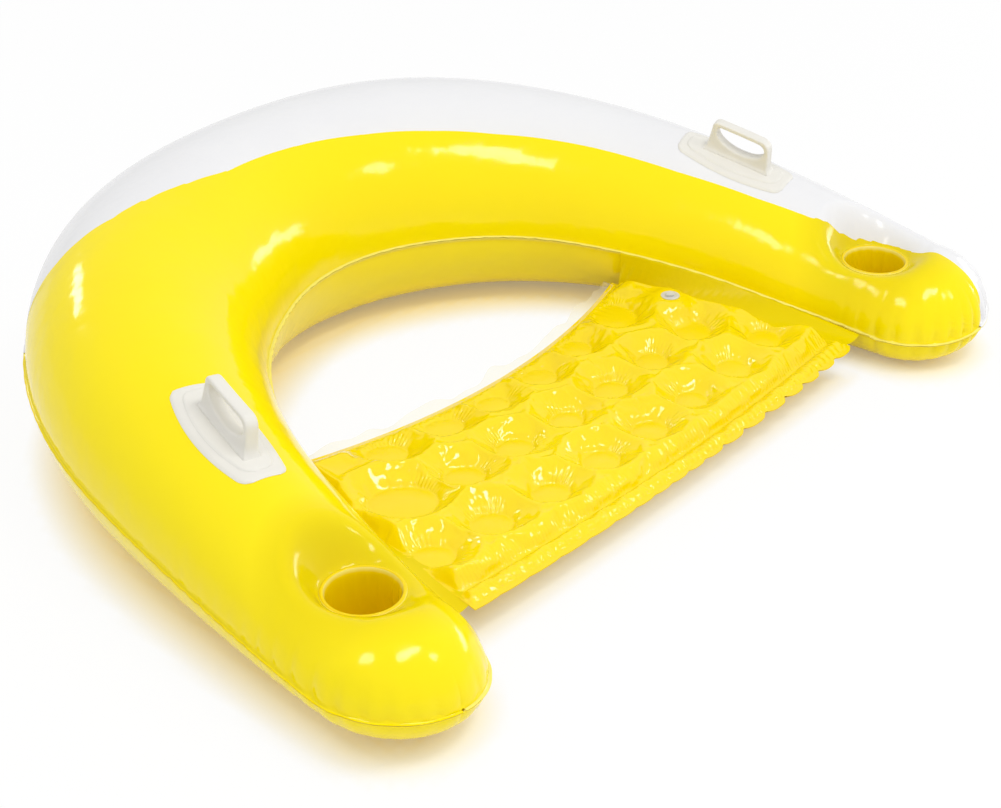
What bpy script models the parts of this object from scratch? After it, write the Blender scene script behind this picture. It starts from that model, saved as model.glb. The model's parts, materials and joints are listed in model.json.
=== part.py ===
"""Inflatable pool chair, modelled as its separate welded sheets, mouldings and valves.

A horseshoe tube of welded vinyl film carries a quilted seat mat between its arms. Each arm
has a cup holder near its end and a grab handle behind it. One valve fills the tube and one
fills the mat. Metres, +Z up, open front towards -Y, origin at the middle of the footprint.
"""

import math
from collections import namedtuple

import bmesh
import bpy
import numpy as np
from mathutils import Matrix, Vector
from mathutils.geometry import delaunay_2d_cdt

# Film, and the clearance left between pieces that touch
SHEET = 0.0004
GAP = 0.0003
SEAM_LIP = 0.004

# Tube, on plan: half of its centreline is one Bezier curve from the back to an arm's end
ARM_REACH = 0.397
ARM_SPREAD = 0.544
BACK_PULL = 0.371
ARM_PULL = 0.459
ARM_TOE = 0.030

# Tube, in section: half sizes at the fullest place, and their shares from arm end to back.
# The mat draws the inner seam down, to these shares of the outer seam's level
TUBE_HALF_WIDTH = 0.161
TUBE_HALF_HEIGHT = 0.159
WIDTH_SHARES = (0.667, 0.722, 0.892, 1.0, 0.912)
BACK_REACH = ARM_REACH + TUBE_HALF_WIDTH * (WIDTH_SHARES[0] - WIDTH_SHARES[-1])
HEIGHT_SHARES = (0.460, 0.674, 0.848, 0.968, 1.0)
INNER_SEAM_SHARES = (0.66, 0.785, 0.86, 0.85, 0.845)
CONTACT_ANGLE = math.radians(5)

# White side panel: how far round the section its upper edge lies, as shares of a half turn,
# at shares of the way from the -X arm's end to the +X arm's end
PANEL_EDGE_SHARES = (
    (0.316, 0.003),
    (0.320, 0.17),
    (0.325, 0.26),
    (0.333, 0.33),
    (0.345, 0.41),
    (0.365, 0.485),
    (0.395, 0.555),
    (0.430, 0.61),
    (0.50, 0.66),
    (0.56, 0.69),
    (0.62, 0.705),
    (0.68, 0.71),
    (0.76, 0.69),
    (0.83, 0.677),
    (0.89, 0.657),
    (0.92, 0.63),
    (0.935, 0.54),
    (0.950, 0.41),
    (0.966, 0.345),
    (0.985, 0.35),
    (1.0, 0.40),
)
PANEL_END_TURN_SHARE = 0.38

# Cup holders, set in from the end of the arm's centreline
CUP_INSET = 0.016
CUP_SETBACK = 0.056
CUP_SPREAD = ARM_SPREAD - CUP_INSET
CUP_FORWARD = ARM_REACH - CUP_SETBACK
CUP_RADIUS = 0.043
CUP_DEPTH = 0.075
CUP_RIM_LEVEL = 0.114
CUP_WALL = 0.0006
CUP_WAIST = 0.0025
CUP_BEAD = 0.006
CUP_BEAD_HEIGHT = 0.003
CUP_FLOOR_HEM = 0.006
CUP_FLAT = 0.052
CUP_DRAW = 0.048

# Grab handles
HANDLE_FORWARD = 0.108
PATCH_LENGTH = 0.168
PATCH_WIDTH = 0.082
PATCH_END_WIDTH = 0.058
PATCH_THICKNESS = 0.0022
PLATE_INSET = 0.011
PLATE_THICKNESS = 0.0018
GRIP_BASE = 0.106
GRIP_TOP = 0.090
GRIP_HEIGHT = 0.049
GRIP_WIDTH = 0.013
GRIP_CORNER = 0.011
GRIP_BAR = 0.0075
GRIP_SILL = 0.014
GRIP_FORWARD = 0.004
GRIP_RAKE = 0.006
GRIP_ROOT = 0.0012
GRIP_EDGE = 0.0014

# Seat mat: sizes of its flat pattern, and how far its edges bow forward when it hangs
MAT_LEVEL = 0.050
MAT_SETBACK = 0.005
MAT_FRONT = ARM_REACH - MAT_SETBACK
MAT_BACK = 0.012
MAT_FRONT_HALF = 0.403
MAT_BACK_HALF = 0.338
MAT_FRONT_BOW = 0.015
MAT_BACK_BOW = 0.060
MAT_HEM = 0.009
MAT_RISE = 0.027
MAT_SHOULDER = 0.034
MAT_ROLL = 0.035
MAT_ROLL_LINE = MAT_FRONT - MAT_ROLL
WELD_RADIUS = 0.028
WIDE_WELD_RADIUS = 0.040
WELD_PITCH = 0.0985
WELD_BACK = 0.058
WELD_ROW_PITCH = 0.1115
WELD_ROWS = 3
FILM_FLANGE = 0.016

# Bands that hang the mat from the tube's inner seam
BAND_TAB = 0.007
BAND_END = 0.020
BAND_FRONT = MAT_FRONT - BAND_END
BAND_BACK = 0.026

# Valves, each in its own frame: origin on the sheet, +Z out of it
FLANGE_RADIUS = 0.0135
FLANGE_THICKNESS = 0.0014
STEM_RADIUS = 0.0056
STEM_BORE = 0.0036
STEM_LENGTH = 0.016
STEM_STOP = 0.0012
STEM_RIM = 0.0012
CAP_RADIUS = 0.0064
CAP_THICKNESS = 0.0015
NOSE_LENGTH = 0.0030
NOSE_TAPER = 0.0007
STRAP_REACH = 0.0086
STRAP_WIDTH = 0.0046
FLAP_THICKNESS = 0.0005
MAT_VALVE_X = 0.318
MAT_VALVE_Y = -0.124
PAD_RADIUS = 0.017

# Mesh density
SPINE_ROWS = 36
BOTTOM_COLUMNS = 3
PLATE_ROWS = 10
PLATE_COLUMNS = 6
DIMPLE_SHARES = (0.14, 0.5)
END_TURNS = (math.radians(18), math.radians(38), math.radians(56), math.radians(72), math.radians(90))
END_WIDTH_SHARE = 0.06
TOP_COLUMNS = 10
PANEL_COLUMNS = 5
CUP_SIDES = 24
WELD_SIDES = 10
MAT_ACROSS = 18
MAT_DEEP = 9
CROWD_SHARE = 0.8
RING_SIDES = 24
SMALL_SIDES = 16

YELLOW_FILM = ((0.98, 0.72, 0.004), 0.16)
WHITE_FILM = ((0.86, 0.86, 0.87), 0.18)
CLEAR_FILM = ((0.80, 0.79, 0.70), 0.10)
CREAM_MOULDING = ((0.84, 0.82, 0.76), 0.42)
CLEAR_MOULDING = ((0.78, 0.78, 0.76), 0.22)

Row = namedtuple("Row", "share centre outward ahead half_width half_height drop shrink advance")


# Scene and materials


def clear_scene():
    for obj in list(bpy.data.objects):
        bpy.data.objects.remove(obj)


def new_collection(name):
    collection = bpy.data.collections.new(name)
    bpy.context.scene.collection.children.link(collection)
    return collection


def film(name, look):
    material = bpy.data.materials.new(name)
    material.use_nodes = True
    shader = material.node_tree.nodes["Principled BSDF"]
    colour, roughness = look
    shader.inputs["Base Color"].default_value = (*colour, 1)
    shader.inputs["Roughness"].default_value = roughness
    shader.inputs["Metallic"].default_value = 0
    return material


def add_object(name, mesh, collection, material=None):
    obj = bpy.data.objects.new(name, mesh)
    collection.objects.link(obj)
    if material:
        mesh.materials.append(material)
    mesh.shade_smooth()
    mesh.set_sharp_from_angle(angle=math.radians(40))
    return obj


def mesh_of(bm, name):
    mesh = bpy.data.meshes.new(name)
    bm.to_mesh(mesh)
    bm.free()
    return mesh


def solidify(obj, thickness, offset=-1):
    shell = obj.modifiers.new("film", "SOLIDIFY")
    shell.thickness = thickness
    shell.offset = offset
    shell.use_quality_normals = True
    shell.use_even_offset = False


def cut(obj, cutter):
    boolean = obj.modifiers.new("cut", "BOOLEAN")
    boolean.operation = "DIFFERENCE"
    boolean.object = cutter
    boolean.solver = "EXACT"


def fuse(obj, other):
    boolean = obj.modifiers.new("fuse", "BOOLEAN")
    boolean.operation = "UNION"
    boolean.object = other
    boolean.solver = "EXACT"


def make_cutter(name, mesh, collection):
    obj = add_object(name, mesh, collection)
    obj.hide_render = True
    obj.display_type = "WIRE"
    return obj


def cylinder_mesh(name, radius, height, sides):
    bm = bmesh.new()
    bmesh.ops.create_cone(bm, cap_ends=True, segments=sides, radius1=radius, radius2=radius, depth=height)
    return mesh_of(bm, name)


def turned(name, profile, sides, collection, material, closed_ring=False):
    """A profile of (radius, height) points, listed down its outer side, turned about Z."""
    bm = bmesh.new()
    points = [bm.verts.new((radius, 0, height)) for radius, height in profile]
    pairs = list(zip(points, points[1:]))
    if closed_ring:
        pairs.append((points[-1], points[0]))
    for first, second in pairs:
        bm.edges.new((first, second))
    obj = add_object(name, mesh_of(bm, name), collection, material)
    screw = obj.modifiers.new("turn", "SCREW")
    screw.axis = "Z"
    screw.angle = math.tau
    screw.steps = screw.render_steps = sides
    screw.use_merge_vertices = True
    screw.merge_threshold = GAP / 10
    screw.use_smooth_shade = True
    return obj


def baked(obj):
    """Replaces an object's mesh with its evaluated one, and drops its modifiers."""
    graph = bpy.context.evaluated_depsgraph_get()
    mesh = bpy.data.meshes.new_from_object(obj.evaluated_get(graph))
    obj.modifiers.clear()
    obj.data = mesh
    return obj


# Tube geometry


def eased(shares, place):
    """Smooth value of a table of evenly spaced shares, level at its last entry."""
    spans = len(shares) - 1
    k = min(int(place * spans), spans - 1)
    t = place * spans - k
    before = shares[k - 1] if k else 2 * shares[0] - shares[1]
    after = shares[k + 2] if k + 2 <= spans else shares[spans - 1]
    rise_start = (shares[k + 1] - before) / 2
    rise_end = (after - shares[k]) / 2
    square, cube = t * t, t * t * t
    return (
        (2 * cube - 3 * square + 1) * shares[k]
        + (cube - 2 * square + t) * rise_start
        + (3 * square - 2 * cube) * shares[k + 1]
        + (cube - square) * rise_end
    )


def half_spine(samples=400):
    """Places and headings along the +X half of the centreline, at even lengths from the back."""
    controls = np.array(
        [
            (0, BACK_REACH),
            (BACK_PULL, BACK_REACH),
            (ARM_SPREAD - ARM_TOE, ARM_PULL - ARM_REACH),
            (ARM_SPREAD, -ARM_REACH),
        ]
    )
    t = np.linspace(0, 1, samples)[:, None]
    places = (
        (1 - t) ** 3 * controls[0]
        + 3 * t * (1 - t) ** 2 * controls[1]
        + 3 * t**2 * (1 - t) * controls[2]
        + t**3 * controls[3]
    )
    lengths = np.concatenate([[0], np.cumsum(np.linalg.norm(np.diff(places, axis=0), axis=1))])
    even = np.linspace(0, lengths[-1], samples)
    places = np.stack([np.interp(even, lengths, places[:, i]) for i in range(2)], axis=1)
    headings = np.gradient(places, axis=0)
    headings[0] = (1, 0)
    headings /= np.linalg.norm(headings, axis=1)[:, None]
    return places, headings, lengths[-1]


SPINE_PLACES, SPINE_HEADINGS, SPINE_HALF_LENGTH = half_spine()


def row_at(share, turn=0.0):
    """The tube's section at a share of the way round, or part of an arm's rounded end."""
    side = -1 if share < 0.5 else 1
    along = abs(2 * share - 1)
    index = along * (len(SPINE_PLACES) - 1)
    places = [np.interp(index, range(len(SPINE_PLACES)), SPINE_PLACES[:, i]) for i in range(2)]
    heading = [np.interp(index, range(len(SPINE_HEADINGS)), SPINE_HEADINGS[:, i]) for i in range(2)]
    ahead = Vector((side * heading[0], heading[1], 0)).normalized()
    outward = Vector((-side * heading[1], heading[0], 0)).normalized()
    half_width = TUBE_HALF_WIDTH * eased(WIDTH_SHARES, 1 - along)
    half_height = TUBE_HALF_HEIGHT * eased(HEIGHT_SHARES, 1 - along)
    return Row(
        share,
        Vector((side * places[0], places[1], 0)),
        outward,
        ahead,
        half_width,
        half_height,
        half_height * math.cos(CONTACT_ANGLE) * (1 - eased(INNER_SEAM_SHARES, 1 - along)),
        max(math.cos(turn), END_WIDTH_SHARE),
        math.sin(turn),
    )


def seam_level(row, across=-1):
    """Level of the seams' plane, which leans from the outer seam, 1, down to the inner, -1."""
    return row.half_height * math.cos(CONTACT_ANGLE) - row.drop * (1 - across) / 2


def swell(row, face):
    """How far a sheet swells from the seams' plane, so that the sole stays on the ground."""
    standoff = GAP / 2 + SHEET
    if face > 0:
        return row.half_height * (1 + math.cos(CONTACT_ANGLE)) - seam_level(row, 0) - standoff
    sole = seam_level(row, math.sin(CONTACT_ANGLE))
    return (sole - standoff) / math.cos(CONTACT_ANGLE)


def eased_step(t):
    """Rises steeply from 0 and levels out at 1, like the shoulder of an inflated sheet."""
    t = min(max(t, 0), 1)
    return math.sqrt(1 - (1 - t) ** 2)


def pillow_step(t):
    """Rises from 0 at a slant and levels out at 1, like the film beside a weld."""
    return math.sin(min(max(t, 0), 1) * math.pi / 2)


def cup_reach(place):
    """Distance on plan from the nearer cup holder's middle."""
    return math.hypot(abs(place.x) - CUP_SPREAD, place.y + CUP_FORWARD)


def tube_point(row, turn, face=1, lift=0):
    """A point of the tube's outer face: turn 0 is the outer seam, half a turn the inner one.

    face is 1 on the upper sheets and -1 on the lower one. lift moves the point off the sheet.
    """
    across = row.shrink * math.cos(turn)
    place = row.centre + row.outward * (across * row.half_width)
    place += row.ahead * (row.advance * row.half_width)
    level = seam_level(row, across) + face * (GAP / 2 + SHEET)
    if row.advance < 1:
        level += swell(row, face) * row.shrink * math.sin(turn)
    if face > 0:
        rise = eased_step((cup_reach(place) - CUP_FLAT) / CUP_DRAW)
        level = min(level, CUP_RIM_LEVEL + (level - CUP_RIM_LEVEL) * rise)
    out = row.outward * (swell(row, face) * math.cos(turn) - row.drop * math.sin(turn) / 2)
    out += Vector((0, 0, row.half_width * math.sin(turn)))
    return Vector((place.x, place.y, max(level, 0))) + out.normalized() * lift


def share_at(y):
    """The share of the way round at which the -X arm's centreline passes a y."""
    falls = np.linspace(0, 1, len(SPINE_PLACES))
    return (1 - float(np.interp(-y, -SPINE_PLACES[:, 1], falls))) / 2


def tube_rows():
    """Sections spread evenly round the tube, and one at each point of the panel's edge."""
    panel = [place for place, _ in PANEL_EDGE_SHARES]
    even = spread(0, 1, SPINE_ROWS)
    apart = [s for s in even if min(abs(s - place) for place in panel) > 1 / (3 * SPINE_ROWS)]
    start = [row_at(0, turn) for turn in reversed(END_TURNS)]
    middle = [row_at(share) for share in sorted(apart + panel)]
    end = [row_at(1, turn) for turn in END_TURNS]
    return start + middle + end


def spot_under(x, y):
    """The row and turn of the upper sheet under a point of the plan, by an arm's end."""
    aways = np.array((abs(x), y)) - SPINE_PLACES
    nearest = int(np.argmin(np.linalg.norm(aways, axis=1)))
    step = SPINE_HALF_LENGTH / (len(SPINE_PLACES) - 1)
    along = nearest * step + float(aways[nearest] @ SPINE_HEADINGS[nearest])
    fall = min(along / SPINE_HALF_LENGTH, 1)
    share = (1 + math.copysign(fall, x)) / 2
    row = row_at(share)
    beyond = max(along - SPINE_HALF_LENGTH, 0) / row.half_width
    row = row_at(share, math.asin(beyond))
    across = (Vector((x, y, 0)) - row.centre).dot(row.outward)
    return row, math.acos(across / (row.half_width * row.shrink))


def panel_edge(row):
    """The turn at which the white panel meets the yellow sheet on this row, or 0."""
    places = [place for place, _ in PANEL_EDGE_SHARES]
    turns = [turn for _, turn in PANEL_EDGE_SHARES]
    if row.share < places[0]:
        return 0
    edge = math.pi * float(np.interp(row.share, places, turns))
    return edge + (math.pi * PANEL_END_TURN_SHARE - edge) * row.advance**3


def gap_turn(row):
    """Half of the clearance between the yellow sheet and the panel, as a turn."""
    return GAP / (2 * min(row.half_width, row.half_height) * row.shrink)


def in_seam(row, turn):
    return row.advance == 1 or math.isclose(abs(math.cos(turn)), 1)


def gridded_sheet(rows, turns_of):
    """The lower sheet: a surface through the same number of points on every row."""
    bm = bmesh.new()
    seam = set()
    grid = []
    for row in rows:
        line = []
        for turn in turns_of(row):
            line.append(bm.verts.new(tube_point(row, turn, -1)))
            if in_seam(row, turn):
                seam.add(line[-1])
        grid.append(line)
    for first, second in zip(grid, grid[1:]):
        for k in range(len(first) - 1):
            bm.faces.new((first[k], first[k + 1], second[k + 1], second[k]))
    fold_lip(bm, seam)
    return bm


def unrolled(spot):
    """Where a spot of the tube lies when its surface is laid out flat."""
    row, turn = spot
    along = (2 * row.share - 1) * SPINE_HALF_LENGTH
    along += math.copysign(row.advance * row.half_width, along)
    return Vector((along, turn * TUBE_HALF_WIDTH))


def loop_edges(first, count):
    return [(first + k, first + (k + 1) % count) for k in range(count)]


def cup_rings():
    """Spots in rings round both cup holders, from the hole's edge to the end of the dimple."""
    radii = [CUP_RADIUS + GAP, CUP_FLAT - GAP]
    radii += [CUP_FLAT + CUP_DRAW * share for share in DIMPLE_SHARES]
    rings = []
    for side in (-1, 1):
        for k, radius in enumerate(radii):
            points = ring((side * CUP_SPREAD, -CUP_FORWARD), radius, CUP_SIDES, math.pi * k / CUP_SIDES)
            rings.append([spot_under(x, y) for x, y in points])
    return rings


def well_inside(spot, turns_of):
    row, turn = spot
    turns = turns_of(row)
    margin = CUP_BEAD / (row.half_width * row.shrink)
    return turns[0] + margin < turn < turns[-1] - margin


def pierced_sheet(rows, turns_of):
    """The rows' surface, with its points drawn closer at the cup holders and the patches."""
    rings = cup_rings()
    grid = [[(row, turn) for turn in turns_of(row)] for row in rows]
    outline = [line[0] for line in grid] + grid[-1][1:-1]
    outline += [line[-1] for line in reversed(grid)] + grid[0][-2:0:-1]
    loops = [loop for loop in rings if all(well_inside(spot, turns_of) for spot in loop)]
    rest = [spot for loop in rings if loop not in loops for spot in loop] + patch_spots()
    rest = [spot for spot in rest if well_inside(spot, turns_of)]
    taken = [tube_point(*spot) for spot in rest]
    for spot in (spot for line in grid[1:-1] if not line[0][0].advance for spot in line[1:-1]):
        point = tube_point(*spot)
        crowd = min((point - other).length for other in taken)
        if cup_reach(point) > CUP_FLAT + CUP_DRAW and crowd > PLATE_INSET:
            rest.append(spot)
    spots = outline + [spot for loop in loops for spot in loop]
    edges = loop_edges(0, len(outline))
    rims = []
    for k in range(len(loops)):
        first = len(outline) + k * CUP_SIDES
        edges += loop_edges(first, CUP_SIDES)
        rims.append(set(range(first, first + CUP_SIDES)))
    for k, line in enumerate(grid):
        if 0 < line[0][0].advance < 1:
            far_side = 2 * len(grid) + len(line) - 3 - k
            inner = list(range(len(spots), len(spots) + len(line) - 2))
            across = [k] + inner + [far_side]
            edges += list(zip(across, across[1:]))
            spots += line[1:-1]
    spots += rest
    flat = [unrolled(spot) for spot in spots]
    _, _, faces, sources, *_ = delaunay_2d_cdt(flat, edges, [], 1, GAP / 10)
    bm = bmesh.new()
    verts = [bm.verts.new(tube_point(*spots[ids[0]])) for ids in sources]
    for face in faces:
        ids = {sources[k][0] for k in face}
        if not any(ids <= rim for rim in rims):
            bm.faces.new([verts[k] for k in face])
    seam = {vert for vert, ids in zip(verts, sources) if ids[0] < len(outline) and in_seam(*spots[ids[0]])}
    fold_lip(bm, seam)
    return bm


def fold_lip(bm, seam):
    """Extrudes the seam's edges into a level lip that stands out from the tube."""
    edges = [e for e in bm.edges if e.is_boundary and e.verts[0] in seam and e.verts[1] in seam]
    aways = {}
    for edge in edges:
        run = edge.verts[1].co - edge.verts[0].co
        away = Vector((run.y, -run.x, 0)).normalized()
        inside = edge.link_faces[0].calc_center_median() - edge.verts[0].co
        if away.dot(inside) > 0:
            away.negate()
        for vert in edge.verts:
            key = tuple(vert.co)
            aways[key] = aways.get(key, Vector((0, 0, 0))) + away
    made = bmesh.ops.extrude_edge_only(bm, edges=edges)["geom"]
    for vert in (v for v in made if isinstance(v, bmesh.types.BMVert)):
        vert.co += aways[tuple(vert.co)].normalized() * SEAM_LIP


def face_out(bm, upwards):
    """Turns all faces so that they face up or down on the whole."""
    bmesh.ops.recalc_face_normals(bm, faces=bm.faces)
    bm.normal_update()
    lean = sum(face.normal.z * face.calc_area() for face in bm.faces)
    if (lean > 0) != upwards:
        bmesh.ops.reverse_faces(bm, faces=bm.faces)


def spread(first, last, count):
    return [first + (last - first) * k / count for k in range(count + 1)]


def ring(centre, radius, count, start=0):
    x, y = centre
    turns = [start + math.tau * k / count for k in range(count)]
    return [(x + radius * math.cos(turn), y + radius * math.sin(turn)) for turn in turns]


def top_turns(row):
    edge = panel_edge(row)
    return spread(edge + gap_turn(row) if edge else 0, math.pi, TOP_COLUMNS)


def panel_turns(row):
    return spread(0, panel_edge(row) - gap_turn(row), PANEL_COLUMNS)


def bottom_turns(_row):
    straight_down = 1.5 * math.pi
    left = spread(math.pi, straight_down - CONTACT_ANGLE, BOTTOM_COLUMNS)
    right = spread(straight_down + CONTACT_ANGLE, math.tau, BOTTOM_COLUMNS)
    return left + right


def make_tube(parts, yellow, white):
    rows = tube_rows()
    panel_start = PANEL_EDGE_SHARES[0][0]
    tear = SEAM_LIP / (4 * SPINE_HALF_LENGTH)
    before = [row for row in rows if row.share < panel_start - tear] + [row_at(panel_start - tear)]
    after = [row for row in rows if row.share >= panel_start]
    shapes = {
        "tube_top_sheet": (pierced_sheet(before + after, top_turns), yellow),
        "tube_side_panel": (pierced_sheet(after, panel_turns), white),
        "tube_bottom_sheet": (gridded_sheet(before + after, bottom_turns), yellow),
    }
    made = {}
    for name, (bm, material) in shapes.items():
        face_out(bm, upwards=name != "tube_bottom_sheet")
        made[name] = add_object(name, mesh_of(bm, name), parts, material)
        solidify(made[name], SHEET)
    return made["tube_side_panel"]


# Cup holders


def cup_wall_profile():
    """Down the outer side of the liner from its bead, and back up the inner side."""
    top = GAP + CUP_BEAD_HEIGHT
    inner = CUP_RADIUS - CUP_WALL
    half = CUP_BEAD_HEIGHT / 2
    return [
        (CUP_RADIUS + CUP_BEAD / 2, top),
        (CUP_RADIUS + CUP_BEAD - half / 2, top - half / 2),
        (CUP_RADIUS + CUP_BEAD, top - half),
        (CUP_RADIUS + CUP_BEAD, GAP),
        (CUP_RADIUS, GAP),
        (CUP_RADIUS - CUP_WAIST, -CUP_DEPTH / 4),
        (CUP_RADIUS - CUP_WAIST, -3 * CUP_DEPTH / 4),
        (CUP_RADIUS, -CUP_DEPTH),
        (inner, -CUP_DEPTH),
        (inner - CUP_WAIST, -3 * CUP_DEPTH / 4),
        (inner - CUP_WAIST, -CUP_DEPTH / 4),
        (inner, GAP),
        (inner, top - half),
        (CUP_RADIUS, top),
    ]


def cup_floor_profile():
    """A disc with an upturned hem that is welded inside the liner."""
    edge = CUP_RADIUS - CUP_WALL - GAP - CUP_WAIST * CUP_FLOOR_HEM / (CUP_DEPTH / 4)
    base = -CUP_DEPTH
    return [
        (0, base + CUP_WALL),
        (edge - CUP_WALL, base + CUP_WALL),
        (edge - CUP_WALL, base + CUP_FLOOR_HEM),
        (edge, base + CUP_FLOOR_HEM),
        (edge, base),
        (0, base),
    ]


def make_cups(parts, yellow):
    for side, label in ((-1, "left"), (1, "right")):
        place = (side * CUP_SPREAD, -CUP_FORWARD, CUP_RIM_LEVEL)
        wall = turned(f"cup_wall_{label}", cup_wall_profile(), CUP_SIDES, parts, yellow, closed_ring=True)
        wall.location = place
        floor = turned(f"cup_floor_{label}", cup_floor_profile(), CUP_SIDES, parts, yellow)
        floor.location = place


# Grab handles


def patch_spot(along, across):
    """Where a point of a handle's flat drawing lies on the crest of the -X arm."""
    row = row_at(share_at(-HANDLE_FORWARD) + along / (2 * SPINE_HALF_LENGTH))
    return row, math.acos(across / row.half_width)


def patch_spots():
    """The patches' own points on both arms, so that the sheet's facets lie as theirs do."""
    near = [patch_spot(*point) for point in plate_points(PATCH_LENGTH, PATCH_WIDTH, PATCH_END_WIDTH)]
    far = [(row_at(1 - row.share), turn) for row, turn in near]
    return near + far


def plate_points(length, middle_width, end_width):
    """A grid over a plate with bowed long sides and cut ends, row by row."""
    points = []
    for i in range(PLATE_ROWS + 1):
        share = 2 * i / PLATE_ROWS - 1
        half = (end_width + (middle_width - end_width) * (1 - share**2)) / 2
        points += [(length * share / 2, y) for y in spread(-half, half, PLATE_COLUMNS)]
    return points


def plate_mesh(name, length, middle_width, end_width, low, high):
    """The plate as a closed grid that can be bent."""
    bm = bmesh.new()
    verts = [bm.verts.new((x, y, low)) for x, y in plate_points(length, middle_width, end_width)]
    wide = PLATE_COLUMNS + 1
    for i in range(PLATE_ROWS):
        for j in range(PLATE_COLUMNS):
            k = i * wide + j
            bm.faces.new((verts[k], verts[k + wide], verts[k + wide + 1], verts[k + 1]))
    raised = bmesh.ops.extrude_face_region(bm, geom=bm.faces[:])["geom"]
    tops = [item for item in raised if isinstance(item, bmesh.types.BMVert)]
    bmesh.ops.translate(bm, vec=(0, 0, high - low), verts=tops)
    bmesh.ops.recalc_face_normals(bm, faces=bm.faces)
    return mesh_of(bm, name)


def arc(centre, radius, start, stop, steps):
    cx, cy = centre
    return [
        (cx + radius * math.cos(math.radians(a)), cy + radius * math.sin(math.radians(a)))
        for a in spread(start, stop, steps)
    ]


def grip_outline(base):
    """Outer line of the loop, seen from the arm's side, from one foot round to the other."""
    half_base, half_top = GRIP_BASE / 2, GRIP_TOP / 2
    top = base + GRIP_HEIGHT
    back = half_top - GRIP_CORNER - GRIP_RAKE
    front = GRIP_CORNER - half_top - GRIP_RAKE
    right = arc((back, top - GRIP_CORNER), GRIP_CORNER, 0, 90, 4)
    left = arc((front, top - GRIP_CORNER), GRIP_CORNER, 90, 180, 4)
    return [(half_base, base)] + right + left + [(-half_base, base)]


def grip_hole(base):
    """The finger hole: a level bar above, and a sill that dips like a bowl below."""
    half = GRIP_TOP / 2 - GRIP_BAR
    top = base + GRIP_HEIGHT - GRIP_BAR
    corner = GRIP_CORNER - GRIP_BAR / 2
    right = arc((half - corner - GRIP_RAKE, top - corner), corner, 0, 90, 3)
    left = arc((corner - half - GRIP_RAKE, top - corner), corner, 90, 180, 3)
    brim = top - corner
    deep = brim - base - GRIP_SILL
    bowl = [
        (half * math.cos(a) - GRIP_RAKE, brim - deep * math.sin(a)) for a in spread(math.pi, 0, 10)
    ]
    return right + left + bowl[1:-1]


def grip_mesh(collection):
    """The loop as a flat outline with a hole, extruded to its width and given soft edges."""
    base = PATCH_THICKNESS + GAP + PLATE_THICKNESS - GRIP_ROOT
    curve = bpy.data.curves.new("grip_outline", "CURVE")
    curve.dimensions = "2D"
    curve.fill_mode = "BOTH"
    curve.extrude = GRIP_WIDTH / 2
    for points in (grip_outline(base), grip_hole(base)):
        spline = curve.splines.new("POLY")
        spline.points.add(len(points) - 1)
        for point, (x, y) in zip(spline.points, points):
            point.co = (x, y, 0, 1)
        spline.use_cyclic_u = True
    drawing = bpy.data.objects.new("grip_outline", curve)
    collection.objects.link(drawing)
    bpy.context.view_layer.update()
    graph = bpy.context.evaluated_depsgraph_get()
    mesh = bpy.data.meshes.new_from_object(drawing.evaluated_get(graph))
    bpy.data.objects.remove(drawing)
    mesh.transform(Matrix.Translation((-GRIP_FORWARD, 0, 0)) @ Matrix.Rotation(math.pi / 2, 4, "X"))
    bm = bmesh.new()
    bm.from_mesh(mesh)
    bmesh.ops.remove_doubles(bm, verts=bm.verts, dist=GAP / 10)
    bmesh.ops.recalc_face_normals(bm, faces=bm.faces)
    return mesh_of(bm, "grip")


def bend_onto_arm(obj, side):
    for vert in obj.data.vertices:
        along, across, lift = vert.co
        vert.co = tube_point(*patch_spot(along, across), lift=lift)
        vert.co.x *= -side
    if side > 0:
        obj.data.flip_normals()


def make_handles(parts, cutters, cream):
    for side, label in ((-1, "left"), (1, "right")):
        mesh = plate_mesh("patch", PATCH_LENGTH, PATCH_WIDTH, PATCH_END_WIDTH, GAP, GAP + PATCH_THICKNESS)
        patch = add_object(f"handle_patch_{label}", mesh, parts, cream)
        low = PATCH_THICKNESS + 2 * GAP
        mesh = plate_mesh(
            "plate",
            PATCH_LENGTH - 2 * PLATE_INSET,
            PATCH_WIDTH - 2 * PLATE_INSET,
            PATCH_END_WIDTH - 2 * PLATE_INSET,
            low,
            low + PLATE_THICKNESS,
        )
        grip = add_object(f"handle_grip_{label}", mesh, parts, cream)
        loop = make_cutter(f"grip_loop_{label}", grip_mesh(cutters), cutters)
        soften = loop.modifiers.new("soften", "BEVEL")
        soften.width = GRIP_EDGE
        soften.segments = 1
        soften.limit_method = "ANGLE"
        soften.angle_limit = math.radians(60)
        fuse(grip, loop)
        bpy.context.view_layer.update()
        baked(grip)
        for obj in (patch, grip):
            bend_onto_arm(obj, side)


# Seat mat


def mat_half_width(y):
    share = (y + MAT_FRONT) / (MAT_FRONT - MAT_BACK)
    return MAT_FRONT_HALF + (MAT_BACK_HALF - MAT_FRONT_HALF) * share


def bowed(x, y):
    """How far forward or back a point of the flat pattern lies once the mat hangs."""
    share = -(y + MAT_BACK) / (MAT_FRONT - MAT_BACK)
    slack = MAT_BACK_BOW + (MAT_FRONT_BOW - MAT_BACK_BOW) * share
    return y - slack * (1 - (x / mat_half_width(y)) ** 2)


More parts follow.
